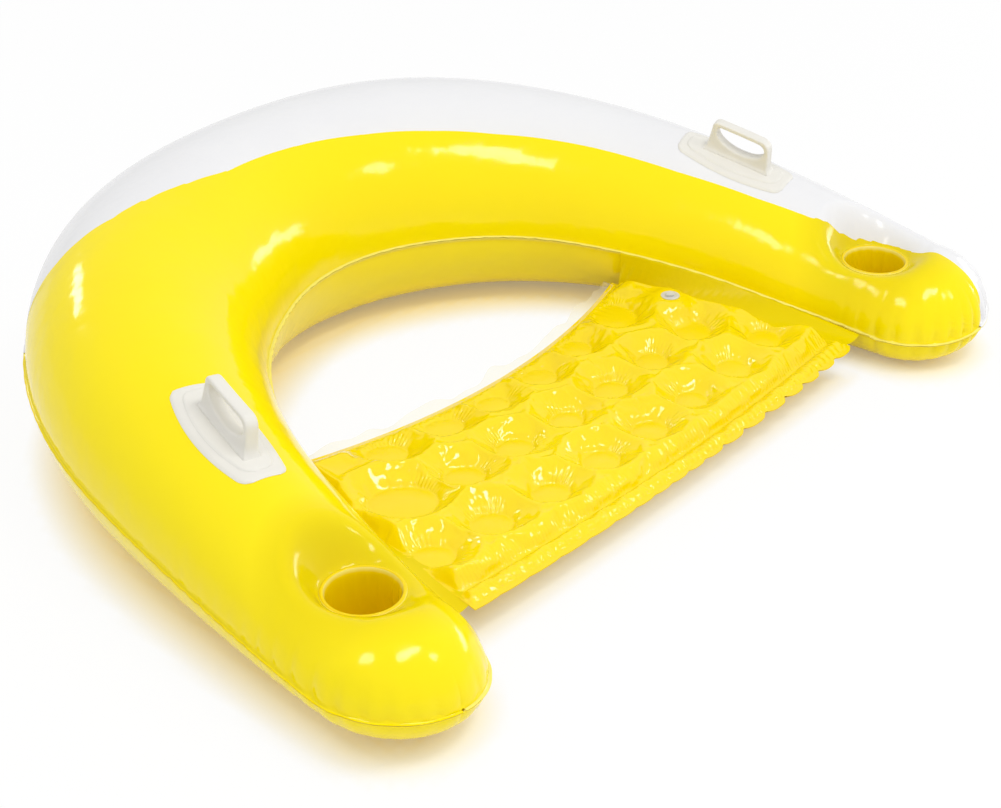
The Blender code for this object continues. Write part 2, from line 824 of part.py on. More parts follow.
def round_welds():
    """Staggered rows of welds, each a place and a radius, with a wide one at the middle's ends."""
    welds = []
    for row in range(WELD_ROWS):
        y = -WELD_BACK - row * WELD_ROW_PITCH
        room = mat_half_width(y) - MAT_HEM - WELD_RADIUS
        start = WELD_PITCH / 2 if row % 2 == 0 else 0
        x = start
        while x <= room:
            wide = row == WELD_ROWS // 2 and x + WELD_PITCH > room
            radius = WIDE_WELD_RADIUS if wide else WELD_RADIUS
            welds += [(side * x, y, radius) for side in (-1, 1) if x or side > 0]
            x += WELD_PITCH
    return [w for w in welds if math.dist(w[:2], (MAT_VALVE_X, MAT_VALVE_Y)) > FLANGE_RADIUS + w[2]]


def mat_rise(x, y, welds, with_pad):
    """Height of an inflated cell above the weld plane: 0 on welds and hems."""
    hem = min(y + MAT_FRONT, -MAT_BACK - y, mat_half_width(y) - abs(x)) - MAT_HEM
    line = abs(y + MAT_ROLL_LINE)
    spot = min(math.dist((x, y), weld[:2]) - weld[2] for weld in welds)
    rise = MAT_RISE * pillow_step((min(hem, line, spot) - GAP) / MAT_SHOULDER)
    if with_pad and hem > GAP:
        valve = math.dist((x, y), (MAT_VALVE_X, MAT_VALVE_Y)) - GAP
        rise = MAT_RISE + (rise - MAT_RISE) * eased_step((valve - PAD_RADIUS) / MAT_SHOULDER)
    return rise


def mat_outline(inset, back=MAT_BACK):
    """Points round the mat on plan, a given distance in from its edges."""
    front, rear = inset - MAT_FRONT, -back - inset
    points = []
    for first, last, count, side in ((-1, 1, MAT_ACROSS, front), (1, -1, MAT_ACROSS, rear)):
        half = mat_half_width(side) - inset
        points += [(half * x, side) for x in spread(first, last, count)]
        deep = spread(side, front + rear - side, MAT_DEEP)[1:-1]
        points += [(last * (mat_half_width(y) - inset), y) for y in deep]
    return points


def mat_plan(welds, back, with_pad):
    """Points of the mat on plan: its outline, its hem, then its cells."""
    outline = mat_outline(0, back)
    hem = mat_outline(MAT_HEM)
    reach = mat_half_width(-MAT_ROLL_LINE) - 2 * MAT_HEM
    roll = [(x, -MAT_ROLL_LINE) for x in spread(-reach, reach, MAT_ACROSS)]
    ridge = (MAT_FRONT - MAT_HEM + MAT_ROLL_LINE) / 2
    inner = [(x, -ridge) for x, _ in roll]
    inner += mat_outline(MAT_HEM + MAT_SHOULDER / 3)
    for x, y, radius in welds:
        inner += ring((x, y), radius, WELD_SIDES)
        inner += ring((x, y), radius + MAT_SHOULDER / 3, WELD_SIDES, math.pi / WELD_SIDES)
    if with_pad:
        inner = ring((MAT_VALVE_X, MAT_VALVE_Y), PAD_RADIUS, WELD_SIDES) + inner
    for x, y, _ in welds:
        for side in (-1, 1):
            inner.append((x + WELD_PITCH / 2, y + side * WELD_ROW_PITCH / 3))
            inner.append((x, y + side * 2 * WELD_ROW_PITCH / 3))
        inner.append((x + WELD_PITCH / 2, y))
    return outline, hem + roll, inner


def thinned(points, kept, least):
    """Drops points that crowd one already kept."""
    chosen = list(kept)
    for point in points:
        if all(math.dist(point, other) > least for other in chosen):
            chosen.append(point)
    return chosen


def inside_hem(point):
    x, y = point
    return MAT_HEM - MAT_FRONT < y < -MAT_BACK - MAT_HEM and abs(x) < mat_half_width(y) - MAT_HEM


def mat_sheet(name, collection, material, back, upwards):
    welds = round_welds()
    outline, lines, inner = mat_plan(welds, back, with_pad=upwards)
    points = thinned([p for p in inner if inside_hem(p)], outline + lines, MAT_HEM * CROWD_SHARE)
    hem = len(mat_outline(MAT_HEM))
    edges = loop_edges(0, len(outline)) + loop_edges(len(outline), hem)
    edges += loop_edges(len(outline) + hem, len(lines) - hem)[:-1]
    flat, _, faces, *_ = delaunay_2d_cdt([Vector(p) for p in points], edges, [], 1, GAP / 10)
    bm = bmesh.new()
    verts = []
    for x, y in flat:
        rise = GAP / 2 + SHEET + mat_rise(x, y, welds, with_pad=upwards)
        verts.append(bm.verts.new((x, bowed(x, y), MAT_LEVEL + (rise if upwards else -rise))))
    for face in faces:
        bm.faces.new([verts[k] for k in face])
    face_out(bm, upwards)
    obj = add_object(name, mesh_of(bm, name), collection, material)
    solidify(obj, SHEET)
    return obj


def make_mat(parts, cutters, yellow, clear):
    top = mat_sheet("seat_top_sheet", parts, yellow, MAT_BACK, upwards=True)
    mat_sheet("seat_bottom_sheet", parts, clear, MAT_BACK - FILM_FLANGE, upwards=False)
    pierce(top, seat_valve_frame(), cutters)


def make_bands(parts, yellow):
    """A band on each side ties the mat's hem to the lip of the tube's inner seam."""
    rows = [row for row in tube_rows() if -BAND_FRONT < seam_place(row).y < -BAND_BACK and not row.advance]
    for side, label in ((-1, "left"), (1, "right")):
        bm = bmesh.new()
        lines = []
        for row in (row for row in rows if row.centre.x * side > 0):
            seam = seam_place(row)
            lip = seam - row.outward * SEAM_LIP
            end = seam - row.outward * (2 * SHEET + GAP)
            edge = mat_half_width(lip.y)
            under = MAT_LEVEL + GAP / 2 + SHEET + GAP + SHEET / 2
            over = seam_level(row) - GAP / 2 - SHEET - GAP - SHEET / 2
            section = [
                (side * (edge - BAND_TAB), lip.y, under),
                (side * edge, lip.y, under),
                (lip.x, lip.y, over),
                (end.x, end.y, over),
            ]
            lines.append([bm.verts.new(point) for point in section])
        for first, second in zip(lines, lines[1:]):
            for k in range(len(first) - 1):
                bm.faces.new((first[k], first[k + 1], second[k + 1], second[k]))
        face_out(bm, upwards=True)
        obj = add_object(f"seat_band_{label}", mesh_of(bm, "seat_band"), parts, yellow)
        solidify(obj, SHEET, offset=0)


def seam_place(row):
    """The inner seam's place on plan."""
    return row.centre - row.outward * row.half_width


# Valves


def seat_valve_frame():
    level = MAT_LEVEL + GAP / 2 + SHEET + MAT_RISE
    return Matrix.Translation((MAT_VALVE_X, bowed(MAT_VALVE_X, MAT_VALVE_Y), level))


def tube_valve_frame():
    """On the middle of the white panel's second facet at the back, square to it."""
    row = row_at(0.5)
    low, high = (tube_point(row, turn) for turn in panel_turns(row)[1:3])
    up = (high - low).normalized()
    along = Vector((-1, 0, 0))
    turn = Matrix((along, up, along.cross(up))).transposed().to_4x4()
    return Matrix.Translation((low + high) / 2) @ turn


def pierce(sheet, frame, cutters):
    """Cuts the hole that a valve's stem passes through."""
    mesh = cylinder_mesh("valve_hole", STEM_RADIUS + 2 * GAP, STEM_LENGTH, SMALL_SIDES)
    hole = make_cutter(f"{sheet.name}_hole", mesh, cutters)
    hole.matrix_world = frame
    cut(sheet, hole)


def flange_profile():
    bore = STEM_RADIUS + GAP
    return [
        (FLANGE_RADIUS - FLANGE_THICKNESS, FLANGE_THICKNESS + GAP),
        (FLANGE_RADIUS, GAP + FLANGE_THICKNESS / 2),
        (FLANGE_RADIUS, GAP),
        (bore, GAP),
        (bore, FLANGE_THICKNESS + GAP),
    ]


def stem_top():
    return FLANGE_THICKNESS + 2 * GAP + STEM_RIM


def stem_profile():
    top = stem_top()
    low = top - STEM_LENGTH
    return [
        (STEM_RADIUS, top),
        (STEM_RADIUS, low + STEM_STOP),
        (STEM_RADIUS + STEM_STOP, low + STEM_STOP),
        (STEM_RADIUS + STEM_STOP, low),
        (STEM_BORE, low),
        (STEM_BORE, top),
    ]


def cap_profile():
    low = stem_top() + GAP
    nose = STEM_BORE - GAP
    return [
        (0, low + CAP_THICKNESS),
        (CAP_RADIUS - CAP_THICKNESS / 3, low + CAP_THICKNESS),
        (CAP_RADIUS, low + 2 * CAP_THICKNESS / 3),
        (CAP_RADIUS, low),
        (nose, low),
        (nose - NOSE_TAPER, low - NOSE_LENGTH),
        (0, low - NOSE_LENGTH),
    ]


def flap_profile():
    low = stem_top() - STEM_LENGTH - GAP
    radius = STEM_RADIUS - GAP
    return [(0, low), (radius, low), (radius, low - FLAP_THICKNESS), (0, low - FLAP_THICKNESS)]


def strap_mesh(name, near, far, low, high):
    """A flat tab that runs out along -X from a round piece."""
    bm = bmesh.new()
    bmesh.ops.create_cube(bm, size=1)
    bmesh.ops.scale(bm, vec=(far - near, STRAP_WIDTH, high - low), verts=bm.verts)
    bmesh.ops.translate(bm, vec=(-(near + far) / 2, 0, (low + high) / 2), verts=bm.verts)
    return mesh_of(bm, name)


def hang(piece, stem, hinge, collection):
    """Hangs a piece on an empty that stands on its hinge, which the stem carries."""
    pivot = bpy.data.objects.new(f"{piece.name}_hinge", None)
    collection.objects.link(pivot)
    pivot.parent = stem
    pivot.location = hinge
    piece.parent = pivot
    piece.location = -hinge


def make_valve(label, frame, parts, cutters, clear):
    top = stem_top()
    name = f"{label}_valve"
    pieces = {
        "flange": turned(f"{name}_flange", flange_profile(), RING_SIDES, parts, clear, closed_ring=True),
        "stem": turned(f"{name}_stem", stem_profile(), SMALL_SIDES, parts, clear, closed_ring=True),
        "plug": turned(f"{name}_plug", cap_profile(), SMALL_SIDES, parts, clear),
        "flap": turned(f"{name}_flap", flap_profile(), SMALL_SIDES, parts, clear),
    }
    tabs = {
        "stem": strap_mesh("stem_tab", STEM_RADIUS - SHEET * 3, STRAP_REACH, top - STEM_RIM, top - GAP),
        "plug": strap_mesh("cap_tab", STEM_BORE, STRAP_REACH - GAP, top + 2 * GAP, top + CAP_THICKNESS),
    }
    for key, mesh in tabs.items():
        tab = make_cutter(f"{label}_{key}_tab", mesh, cutters)
        tab.matrix_world = frame
        fuse(pieces[key], tab)
    for key in ("flange", "stem"):
        pieces[key].matrix_world = frame
    strap_end = Vector((GAP / 2 - STRAP_REACH, 0, top + GAP))
    flap_edge = Vector((GAP - STEM_RADIUS, 0, top - STEM_LENGTH - GAP / 2))
    hang(pieces["plug"], pieces["stem"], strap_end, parts)
    hang(pieces["flap"], pieces["stem"], flap_edge, parts)


def main():
    clear_scene()
    parts = new_collection("pool_chair")
    cutters = new_collection("cutters")
    yellow = film("yellow_film", YELLOW_FILM)
    white = film("white_film", WHITE_FILM)
    clear = film("clear_film", CLEAR_FILM)
    cream = film("cream_moulding", CREAM_MOULDING)
    valve = film("clear_moulding", CLEAR_MOULDING)
    panel = make_tube(parts, yellow, white)
    make_cups(parts, yellow)
    make_handles(parts, cutters, cream)
    make_mat(parts, cutters, yellow, clear)
    make_bands(parts, yellow)
    make_valve("seat", seat_valve_frame(), parts, cutters, valve)
    make_valve("tube", tube_valve_frame(), parts, cutters, valve)
    pierce(panel, tube_valve_frame(), cutters)


main()
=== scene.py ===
"""Looks of the inflatable pool chair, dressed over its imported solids.

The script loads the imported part, stands a finely modelled skin in for each film and soft
moulding, gives every piece its finish, and sets the light, the floor and the camera.
Metres, +Z up, open front towards -Y.
"""

from __future__ import annotations

import json
import logging
import math
from contextlib import contextmanager
from dataclasses import dataclass, fields
from enum import Enum
from functools import cached_property
from typing import Callable, Iterator, Sequence

import bmesh
import bpy
import numpy as np
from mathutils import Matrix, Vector

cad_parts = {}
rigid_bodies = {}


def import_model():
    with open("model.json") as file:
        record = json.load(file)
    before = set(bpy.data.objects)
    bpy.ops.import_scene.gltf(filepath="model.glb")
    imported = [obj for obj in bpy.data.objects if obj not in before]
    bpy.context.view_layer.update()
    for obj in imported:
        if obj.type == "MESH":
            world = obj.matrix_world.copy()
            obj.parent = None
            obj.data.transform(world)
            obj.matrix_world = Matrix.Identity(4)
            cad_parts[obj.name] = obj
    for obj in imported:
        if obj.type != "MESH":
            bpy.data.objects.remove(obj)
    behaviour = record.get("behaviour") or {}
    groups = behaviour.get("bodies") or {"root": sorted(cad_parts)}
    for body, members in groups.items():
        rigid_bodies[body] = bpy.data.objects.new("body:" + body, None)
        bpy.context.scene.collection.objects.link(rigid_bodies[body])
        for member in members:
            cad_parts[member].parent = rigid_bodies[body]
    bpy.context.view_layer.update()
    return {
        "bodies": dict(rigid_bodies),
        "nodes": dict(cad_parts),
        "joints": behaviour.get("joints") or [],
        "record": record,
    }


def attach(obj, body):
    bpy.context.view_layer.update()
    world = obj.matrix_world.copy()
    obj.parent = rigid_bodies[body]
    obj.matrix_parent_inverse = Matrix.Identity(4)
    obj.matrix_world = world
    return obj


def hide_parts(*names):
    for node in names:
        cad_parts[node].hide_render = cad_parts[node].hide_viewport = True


LOG = logging.getLogger("pool_chair")
CHAIR_BODY = "chair"
VALVE_EDGE = 0.00022
VALVE_EDGE_ANGLE = math.radians(40)

Colour = tuple[float, float, float]
Value = "Socket | float | Sequence[float]"


# Shader maths


class Socket:
    """A node's output, with operators that add Math nodes."""

    def __init__(self, shader: "Shader", output: bpy.types.NodeSocket) -> None:
        """Keeps the output with the tree that it belongs to."""
        self.shader = shader
        self.output = output

    def _math(self, operation: str, first: "Value", second: "Value") -> "Socket":
        """Adds a Math node on two values."""
        return self.shader.node("ShaderNodeMath", inputs={0: first, 1: second}, operation=operation)

    def __add__(self, other: "Value") -> "Socket":
        """Adds a value."""
        return self._math("ADD", self, other)

    def __radd__(self, other: "Value") -> "Socket":
        """Adds to a value."""
        return self._math("ADD", other, self)

    def __mul__(self, other: "Value") -> "Socket":
        """Multiplies by a value."""
        return self._math("MULTIPLY", self, other)

    def __rmul__(self, other: "Value") -> "Socket":
        """Multiplies a value."""
        return self._math("MULTIPLY", other, self)

    def __pow__(self, other: "Value") -> "Socket":
        """Raises to a power."""
        return self._math("POWER", self, other)

    def most(self, other: "Value") -> "Socket":
        """The larger of two values."""
        return self._math("MAXIMUM", self, other)

    def between(self, low: float, high: float) -> "Socket":
        """A smooth step from 0 at low to 1 at high.

        Args:
            low: The value that gives 0.
            high: The value that gives 1.

        Returns:
            The step as a Socket.
        """
        return self.shader.node(
            "ShaderNodeMapRange",
            inputs={"Value": self, "From Min": low, "From Max": high},
            interpolation_type="SMOOTHSTEP",
        )


class Shader:
    """A material's or a world's node tree, filled through a single method for any node."""

    def __init__(self, owner: bpy.types.Material | bpy.types.World) -> None:
        """Empties the owner's tree.

        Args:
            owner: The material or world that the tree belongs to.
        """
        self.owner = owner
        self.owner.use_nodes = True
        self.tree = self.owner.node_tree
        self.tree.nodes.clear()

    @classmethod
    def material(cls, name: str) -> "Shader":
        """Starts a new material."""
        return cls(bpy.data.materials.new(name))

    def node(
        self,
        kind: str,
        inputs: dict[str | int, "Value"] | None = None,
        output: str | int = 0,
        **settings: object,
    ) -> Socket:
        """Adds a node.

        Args:
            kind: The node's type name.
            inputs: Values or sockets for its inputs, by name or number.
            output: The output that the result stands for.
            settings: Attributes of the node.

        Returns:
            The chosen output as a Socket.
        """
        made = self.tree.nodes.new(kind)
        for name, value in settings.items():
            setattr(made, name, value)
        for key, value in (inputs or {}).items():
            if isinstance(value, Socket):
                self.tree.links.new(value.output, made.inputs[key])
            else:
                made.inputs[key].default_value = value
        return Socket(self, made.outputs[output])

    def place(self) -> Socket:
        """The point of the surface, in metres, in the object's own frame."""
        return self.node("ShaderNodeTexCoord", output="Object")

    def noise(self, scale: float, detail: float = 2.0, stretch: Colour = (1, 1, 1)) -> Socket:
        """Smooth noise from 0 to 1 with a given number of features per metre."""
        where = self.node(
            "ShaderNodeVectorMath", inputs={0: self.place(), 1: stretch}, operation="MULTIPLY"
        )
        return self.node("ShaderNodeTexNoise", inputs={"Vector": where, "Scale": scale, "Detail": detail})

    def cells(self, scale: float) -> Socket:
        """Distance to the nearest of scattered points, for grains and specks."""
        return self.node("ShaderNodeTexVoronoi", inputs={"Vector": self.place(), "Scale": scale})

    def trait(self, name: str) -> Socket:
        """A value that the mesh carries at each point."""
        return self.node("ShaderNodeAttribute", output="Fac", attribute_name=name)

    def mix(self, factor: "Value", first: "Value", second: "Value") -> Socket:
        """Blends two colours."""
        return self.node(
            "ShaderNodeMix", inputs={0: factor, 6: first, 7: second}, output=2, data_type="RGBA"
        )

    def bump(self, height: Socket, distance: float, strength: float = 1.0) -> Socket:
        """A normal bent by a height field."""
        return self.node(
            "ShaderNodeBump", inputs={"Height": height, "Distance": distance, "Strength": strength}
        )

    def seen(self) -> Socket:
        """1 for rays that see the surface from the camera, directly or through gloss or film.

        Returns:
            The mask as a Socket.
        """
        rays = [
            self.node("ShaderNodeLightPath", output=name)
            for name in ("Is Camera Ray", "Is Glossy Ray", "Is Transmission Ray")
        ]
        return rays[0].most(rays[1]).most(rays[2])

    def see_through(self, body: Socket, tint: Colour, share: "Value") -> Socket:
        """Lets a share of what lies behind a surface show through it, tinted."""
        clear = self.node("ShaderNodeBsdfTransparent", inputs={"Color": opaque(tint)})
        return self.node("ShaderNodeMixShader", inputs={0: share, 1: body, 2: clear})

    def close(self, surface: Socket) -> bpy.types.Material | bpy.types.World:
        """Sends a surface to the tree's output.

        Args:
            surface: The surface shader.

        Returns:
            The finished material or world.
        """
        kind = "World" if isinstance(self.owner, bpy.types.World) else "Material"
        out = self.tree.nodes.new(f"ShaderNodeOutput{kind}")
        self.tree.links.new(surface.output, out.inputs["Surface"])
        return self.owner


def opaque(colour: Colour) -> tuple[float, float, float, float]:
    """A colour with full alpha."""
    return (*colour, 1.0)


# Finishes


@dataclass(frozen=True)
class Film:
    """Welded vinyl film: glossy, faintly wavy, and a little see-through."""

    name: str
    colour: Colour
    deep: Colour
    tint: Colour
    clear_share: float
    # Paler colour of the seam lips: a painted highlight along the welds.
    seam: Colour = (1.0, 0.90, 0.22)
    roughness: float = 0.09
    specular: float = 0.28
    wave: float = 0.0016
    weld_grain: bool = False
    thinned: float = 0.0

    def make(self) -> bpy.types.Material:
        """Builds the material.

        Returns:
            The film as a Principled surface mixed with a tinted transparent one.
        """
        shader = Shader.material(self.name)
        cloud = shader.noise(7.0, 3.0).between(0.35, 0.7)
        fine = shader.noise(420.0, 1.0)
        wave = shader.noise(16.0, 1.0) + 0.35 * shader.noise(46.0, 1.0)
        height = wave + 0.012 * fine
        tone = shader.mix(cloud * 0.35, opaque(self.colour), opaque(self.deep))
        # The seam trait tints the lips paler: a painted highlight along the welds.
        tone = shader.mix(shader.trait("seam"), tone, opaque(self.seam))
        rough = self.roughness + 0.05 * shader.noise(60.0, 2.0)
        if self.weld_grain:
            weld = shader.trait("weld")
            grain = shader.node(
                "ShaderNodeTexWave",
                inputs={"Vector": shader.place(), "Scale": 190.0},
                wave_type="BANDS",
                bands_direction="DIAGONAL",
            )
            tone = shader.mix(weld * 0.15, tone, opaque(self.deep))
            rough = rough + weld * 0.10
            height = height + weld * grain * 0.03
        body = shader.node(
            "ShaderNodeBsdfPrincipled",
            inputs={
                "Base Color": tone,
                "Roughness": rough,
                "Specular IOR Level": self.specular,
                "Normal": shader.bump(height, self.wave),
            },
        )
        share: Socket | float = self.clear_share
        if self.thinned:
            share = shader.trait("thin") * self.thinned + self.clear_share
        return shader.close(shader.see_through(body, self.tint, share))


@dataclass(frozen=True)
class Moulding:
    """Soft moulded vinyl: satin, with a fine grain and faint flow marks."""

    name: str
    colour: Colour
    shade: Colour
    roughness: float = 0.42
    clear_share: float = 0.0
    grain: float = 0.00025

    def make(self) -> bpy.types.Material:
        """Builds the material.

        Returns:
            The moulding, see-through where clear_share is above 0.
        """
        shader = Shader.material(self.name)
        flow = shader.noise(26.0, 3.0, stretch=(1.0, 0.35, 1.0)).between(0.3, 0.75)
        grain = shader.noise(900.0, 2.0)
        speck = shader.cells(1400.0)
        tone = shader.mix(flow * 0.6, opaque(self.colour), opaque(self.shade))
        height = grain + 0.4 * speck + 0.5 * flow
        body = shader.node(
            "ShaderNodeBsdfPrincipled",
            inputs={
                "Base Color": tone,
                "Roughness": self.roughness + 0.10 * grain,
                "Specular IOR Level": 0.35,
                "Normal": shader.bump(height, self.grain),
            },
        )
        if self.clear_share:
            body = shader.see_through(body, (1.0, 1.0, 1.0), self.clear_share)
        return shader.close(body)


YELLOW = Film(
    "yellow_vinyl", (1.0, 0.82, 0.0), (1.0, 0.79, 0.0), (1.0, 0.86, 0.06), 0.06, thinned=0.20
)
# Deeper yellow than the tube's film: painted shade for the walls of the wells.
SHADED_LINER_YELLOW = Film("yellow_liner_painted_shade", (0.93, 0.70, 0.0), (0.88, 0.64, 0.0), (1.0, 0.84, 0.08), 0.06)
# Deeper yellow than the tube's film: painted shade for the bands lying in the crease between arm and mat.
SHADED_STRIP_YELLOW = Film(
    "yellow_strip_painted_shade",
    (0.82, 0.66, 0.0),
    (0.74, 0.57, 0.0),
    (1.0, 0.84, 0.08),
    0.05,
    roughness=0.22,
    specular=0.10,
)
QUILT_YELLOW = Film(
    "yellow_quilt",
    (1.0, 0.80, 0.001),
    (1.0, 0.72, 0.0),
    (1.0, 0.84, 0.10),
    0.10,
    roughness=0.05,
    specular=0.55,
    wave=0.0022,
    weld_grain=True,
)
WHITE = Film(
    "white_vinyl",
    (0.84, 0.84, 0.85),
    (0.80, 0.80, 0.82),
    (1.0, 1.0, 1.0),
    0.04,
    seam=(0.90, 0.90, 0.90),
    roughness=0.16,
)
CLEAR = Film(
    "clear_vinyl",
    (0.90, 0.89, 0.80),
    (0.84, 0.83, 0.74),
    (1.0, 0.99, 0.93),
    0.76,
    seam=(0.96, 0.95, 0.90),
    roughness=0.05,
)
CREAM = Moulding("cream_moulding", (0.79, 0.77, 0.71), (0.74, 0.72, 0.66))
VALVE = Moulding("clear_moulding", (0.84, 0.84, 0.82), (0.76, 0.76, 0.74), roughness=0.2, clear_share=0.3)


# Mesh helpers


def grid_faces(rows: int, columns: int, closed: bool = False) -> np.ndarray:
    """Corner numbers of the quads of a grid.

    Args:
        rows: Points along the first direction.
        columns: Points along the second direction.
        closed: Whether the second direction joins up with itself.

    Returns:
        One line of four point numbers for each quad.
    """
    steps = columns if closed else columns - 1
    i, j = np.meshgrid(np.arange(rows - 1), np.arange(steps), indexing="ij")
    k = (j + 1) % columns
    corners = [i * columns + j, (i + 1) * columns + j, (i + 1) * columns + k, i * columns + k]
    return np.stack([c.ravel() for c in corners], axis=1)


def linked(name: str, data: bpy.types.ID) -> bpy.types.Object:
    """Makes an object.

    Args:
        name: Its name.
        data: The mesh, curve, light or camera that it shows.

    Returns:
        The object, linked to the scene.
    """
    obj = bpy.data.objects.new(name, data)
    bpy.context.scene.collection.objects.link(obj)
    return obj


def mesh_object(
    name: str,
    points: np.ndarray,
    faces: list[list[int]],
    material: bpy.types.Material | None = None,
    traits: dict[str, np.ndarray] | None = None,
) -> bpy.types.Object:
    """Makes a smooth-shaded object from points and faces.

    Args:
        name: The object's name.
        points: Points in metres, in any grid shape.
        faces: Point numbers of each face.
        material: Its finish, if it is to be seen.
        traits: Values that each point carries for the shader.

    Returns:
        The new object, linked to the scene.
    """
    mesh = bpy.data.meshes.new(name)
    mesh.from_pydata(points.reshape(-1, 3).tolist(), [], faces)
    for trait, values in (traits or {}).items():
        mesh.attributes.new(trait, "FLOAT", "POINT").data.foreach_set(
            "value", values.ravel().astype(np.float32)
        )
    if material:
        mesh.materials.append(material)
    mesh.shade_smooth()
    return linked(name, mesh)


@contextmanager
def edited(mesh: bpy.types.Mesh) -> Iterator[bmesh.types.BMesh]:
    """Opens a mesh for editing and writes it back afterwards.

    Args:
        mesh: The mesh.

    Returns:
        Its editable form, for a with statement.
    """
    bm = bmesh.new()
    bm.from_mesh(mesh)
    yield bm
    bm.to_mesh(mesh)
    bm.free()


def drop_loose(obj: bpy.types.Object) -> None:
    """Removes the points that no face uses.

    Args:
        obj: The mesh object to clean.
    """
    with edited(obj.data) as bm:
        bmesh.ops.delete(bm, geom=[v for v in bm.verts if not v.link_faces], context="VERTS")


def grid_normals(points: np.ndarray) -> np.ndarray:
    """Unit normals of a grid of points.

    Args:
        points: The grid, rows by columns by 3.

    Returns:
        A normal for each point.
    """
    along = np.gradient(points, axis=0)
    across = np.gradient(points, axis=1)
    normal = np.cross(along, across)
    length = np.linalg.norm(normal, axis=2, keepdims=True)
    return normal / np.maximum(length, 1e-12)


def pillow(distance: np.ndarray, reach: float) -> np.ndarray:
    """Rises from 0 at a weld to 1 at a reach from it, as blown-up film does."""
    return np.sin(np.clip(distance / reach, 0, 1) * math.pi / 2)


def smooth(share: np.ndarray) -> np.ndarray:
    """Eases a share from 0 to 1, level at both ends."""
    return share * share * (3 - 2 * share)


def refined(grid: np.ndarray, times: int) -> np.ndarray:
    """A finer grid through the same points, drawn by smooth curves both ways.

    Args:
        grid: Values or points, rows by columns.
        times: Steps for each old one.

    Returns:
        The finer grid.
    """
    for axis in (0, 1):
        line = np.moveaxis(grid, axis, 0)
        ends = 2 * line[:1] - line[1:2], 2 * line[-1:] - line[-2:-1]
        longer = np.concatenate([ends[0], line, ends[1]])
        a, b, c, d = (longer[k : len(line) - 1 + k, None] for k in range(4))
        t = (np.arange(times) / times).reshape((1, -1) + (1,) * (line.ndim - 1))
        fine = 2 * b + (c - a) * t + (2 * a - 5 * b + 4 * c - d) * t**2 + (3 * b - a - 3 * c + d) * t**3
        fine = (0.5 * fine).reshape((-1,) + line.shape[1:])
        grid = np.moveaxis(np.concatenate([fine, line[-1:]]), 0, axis)
    return grid


def creases(along: np.ndarray, pitch: float, seed: float) -> np.ndarray:
    """Narrow gathers along a seam, 1 in a crease and 0 between, unevenly spaced.

    Args:
        along: Distance along the seam.
        pitch: Mean distance between gathers.
        seed: A number that makes one seam unlike another.

    Returns:
        The gathers, one value for each place.
    """
    phase = along / pitch + 0.31 * np.sin(along / (pitch * 2.7) + seed)
    phase += 0.22 * np.sin(along / (pitch * 1.3) + 2.3 * seed)
    depth = 0.65 + 0.35 * np.sin(along / (pitch * 4.1) + 1.7 * seed)
    return (1 - np.abs(np.sin(math.pi * phase))) ** 1.6 * depth


# Tube


@dataclass
class Rows:
    """Sections of the tube, one entry of each array for each."""

    share: np.ndarray
    arc: np.ndarray
    centre: np.ndarray
    outward: np.ndarray
    ahead: np.ndarray
    half_width: np.ndarray
    half_height: np.ndarray
    drop: np.ndarray
    shrink: np.ndarray
    advance: np.ndarray

    def kept(self, keep: np.ndarray) -> "Rows":
        """The sections that a mask keeps."""
        return Rows(**{item.name: getattr(self, item.name)[keep] for item in fields(self)})


class Sheet(Enum):
    """The three sheets that the tube is welded from."""

    TOP = "tube_top_sheet"
    PANEL = "tube_side_panel"
    BOTTOM = "tube_bottom_sheet"


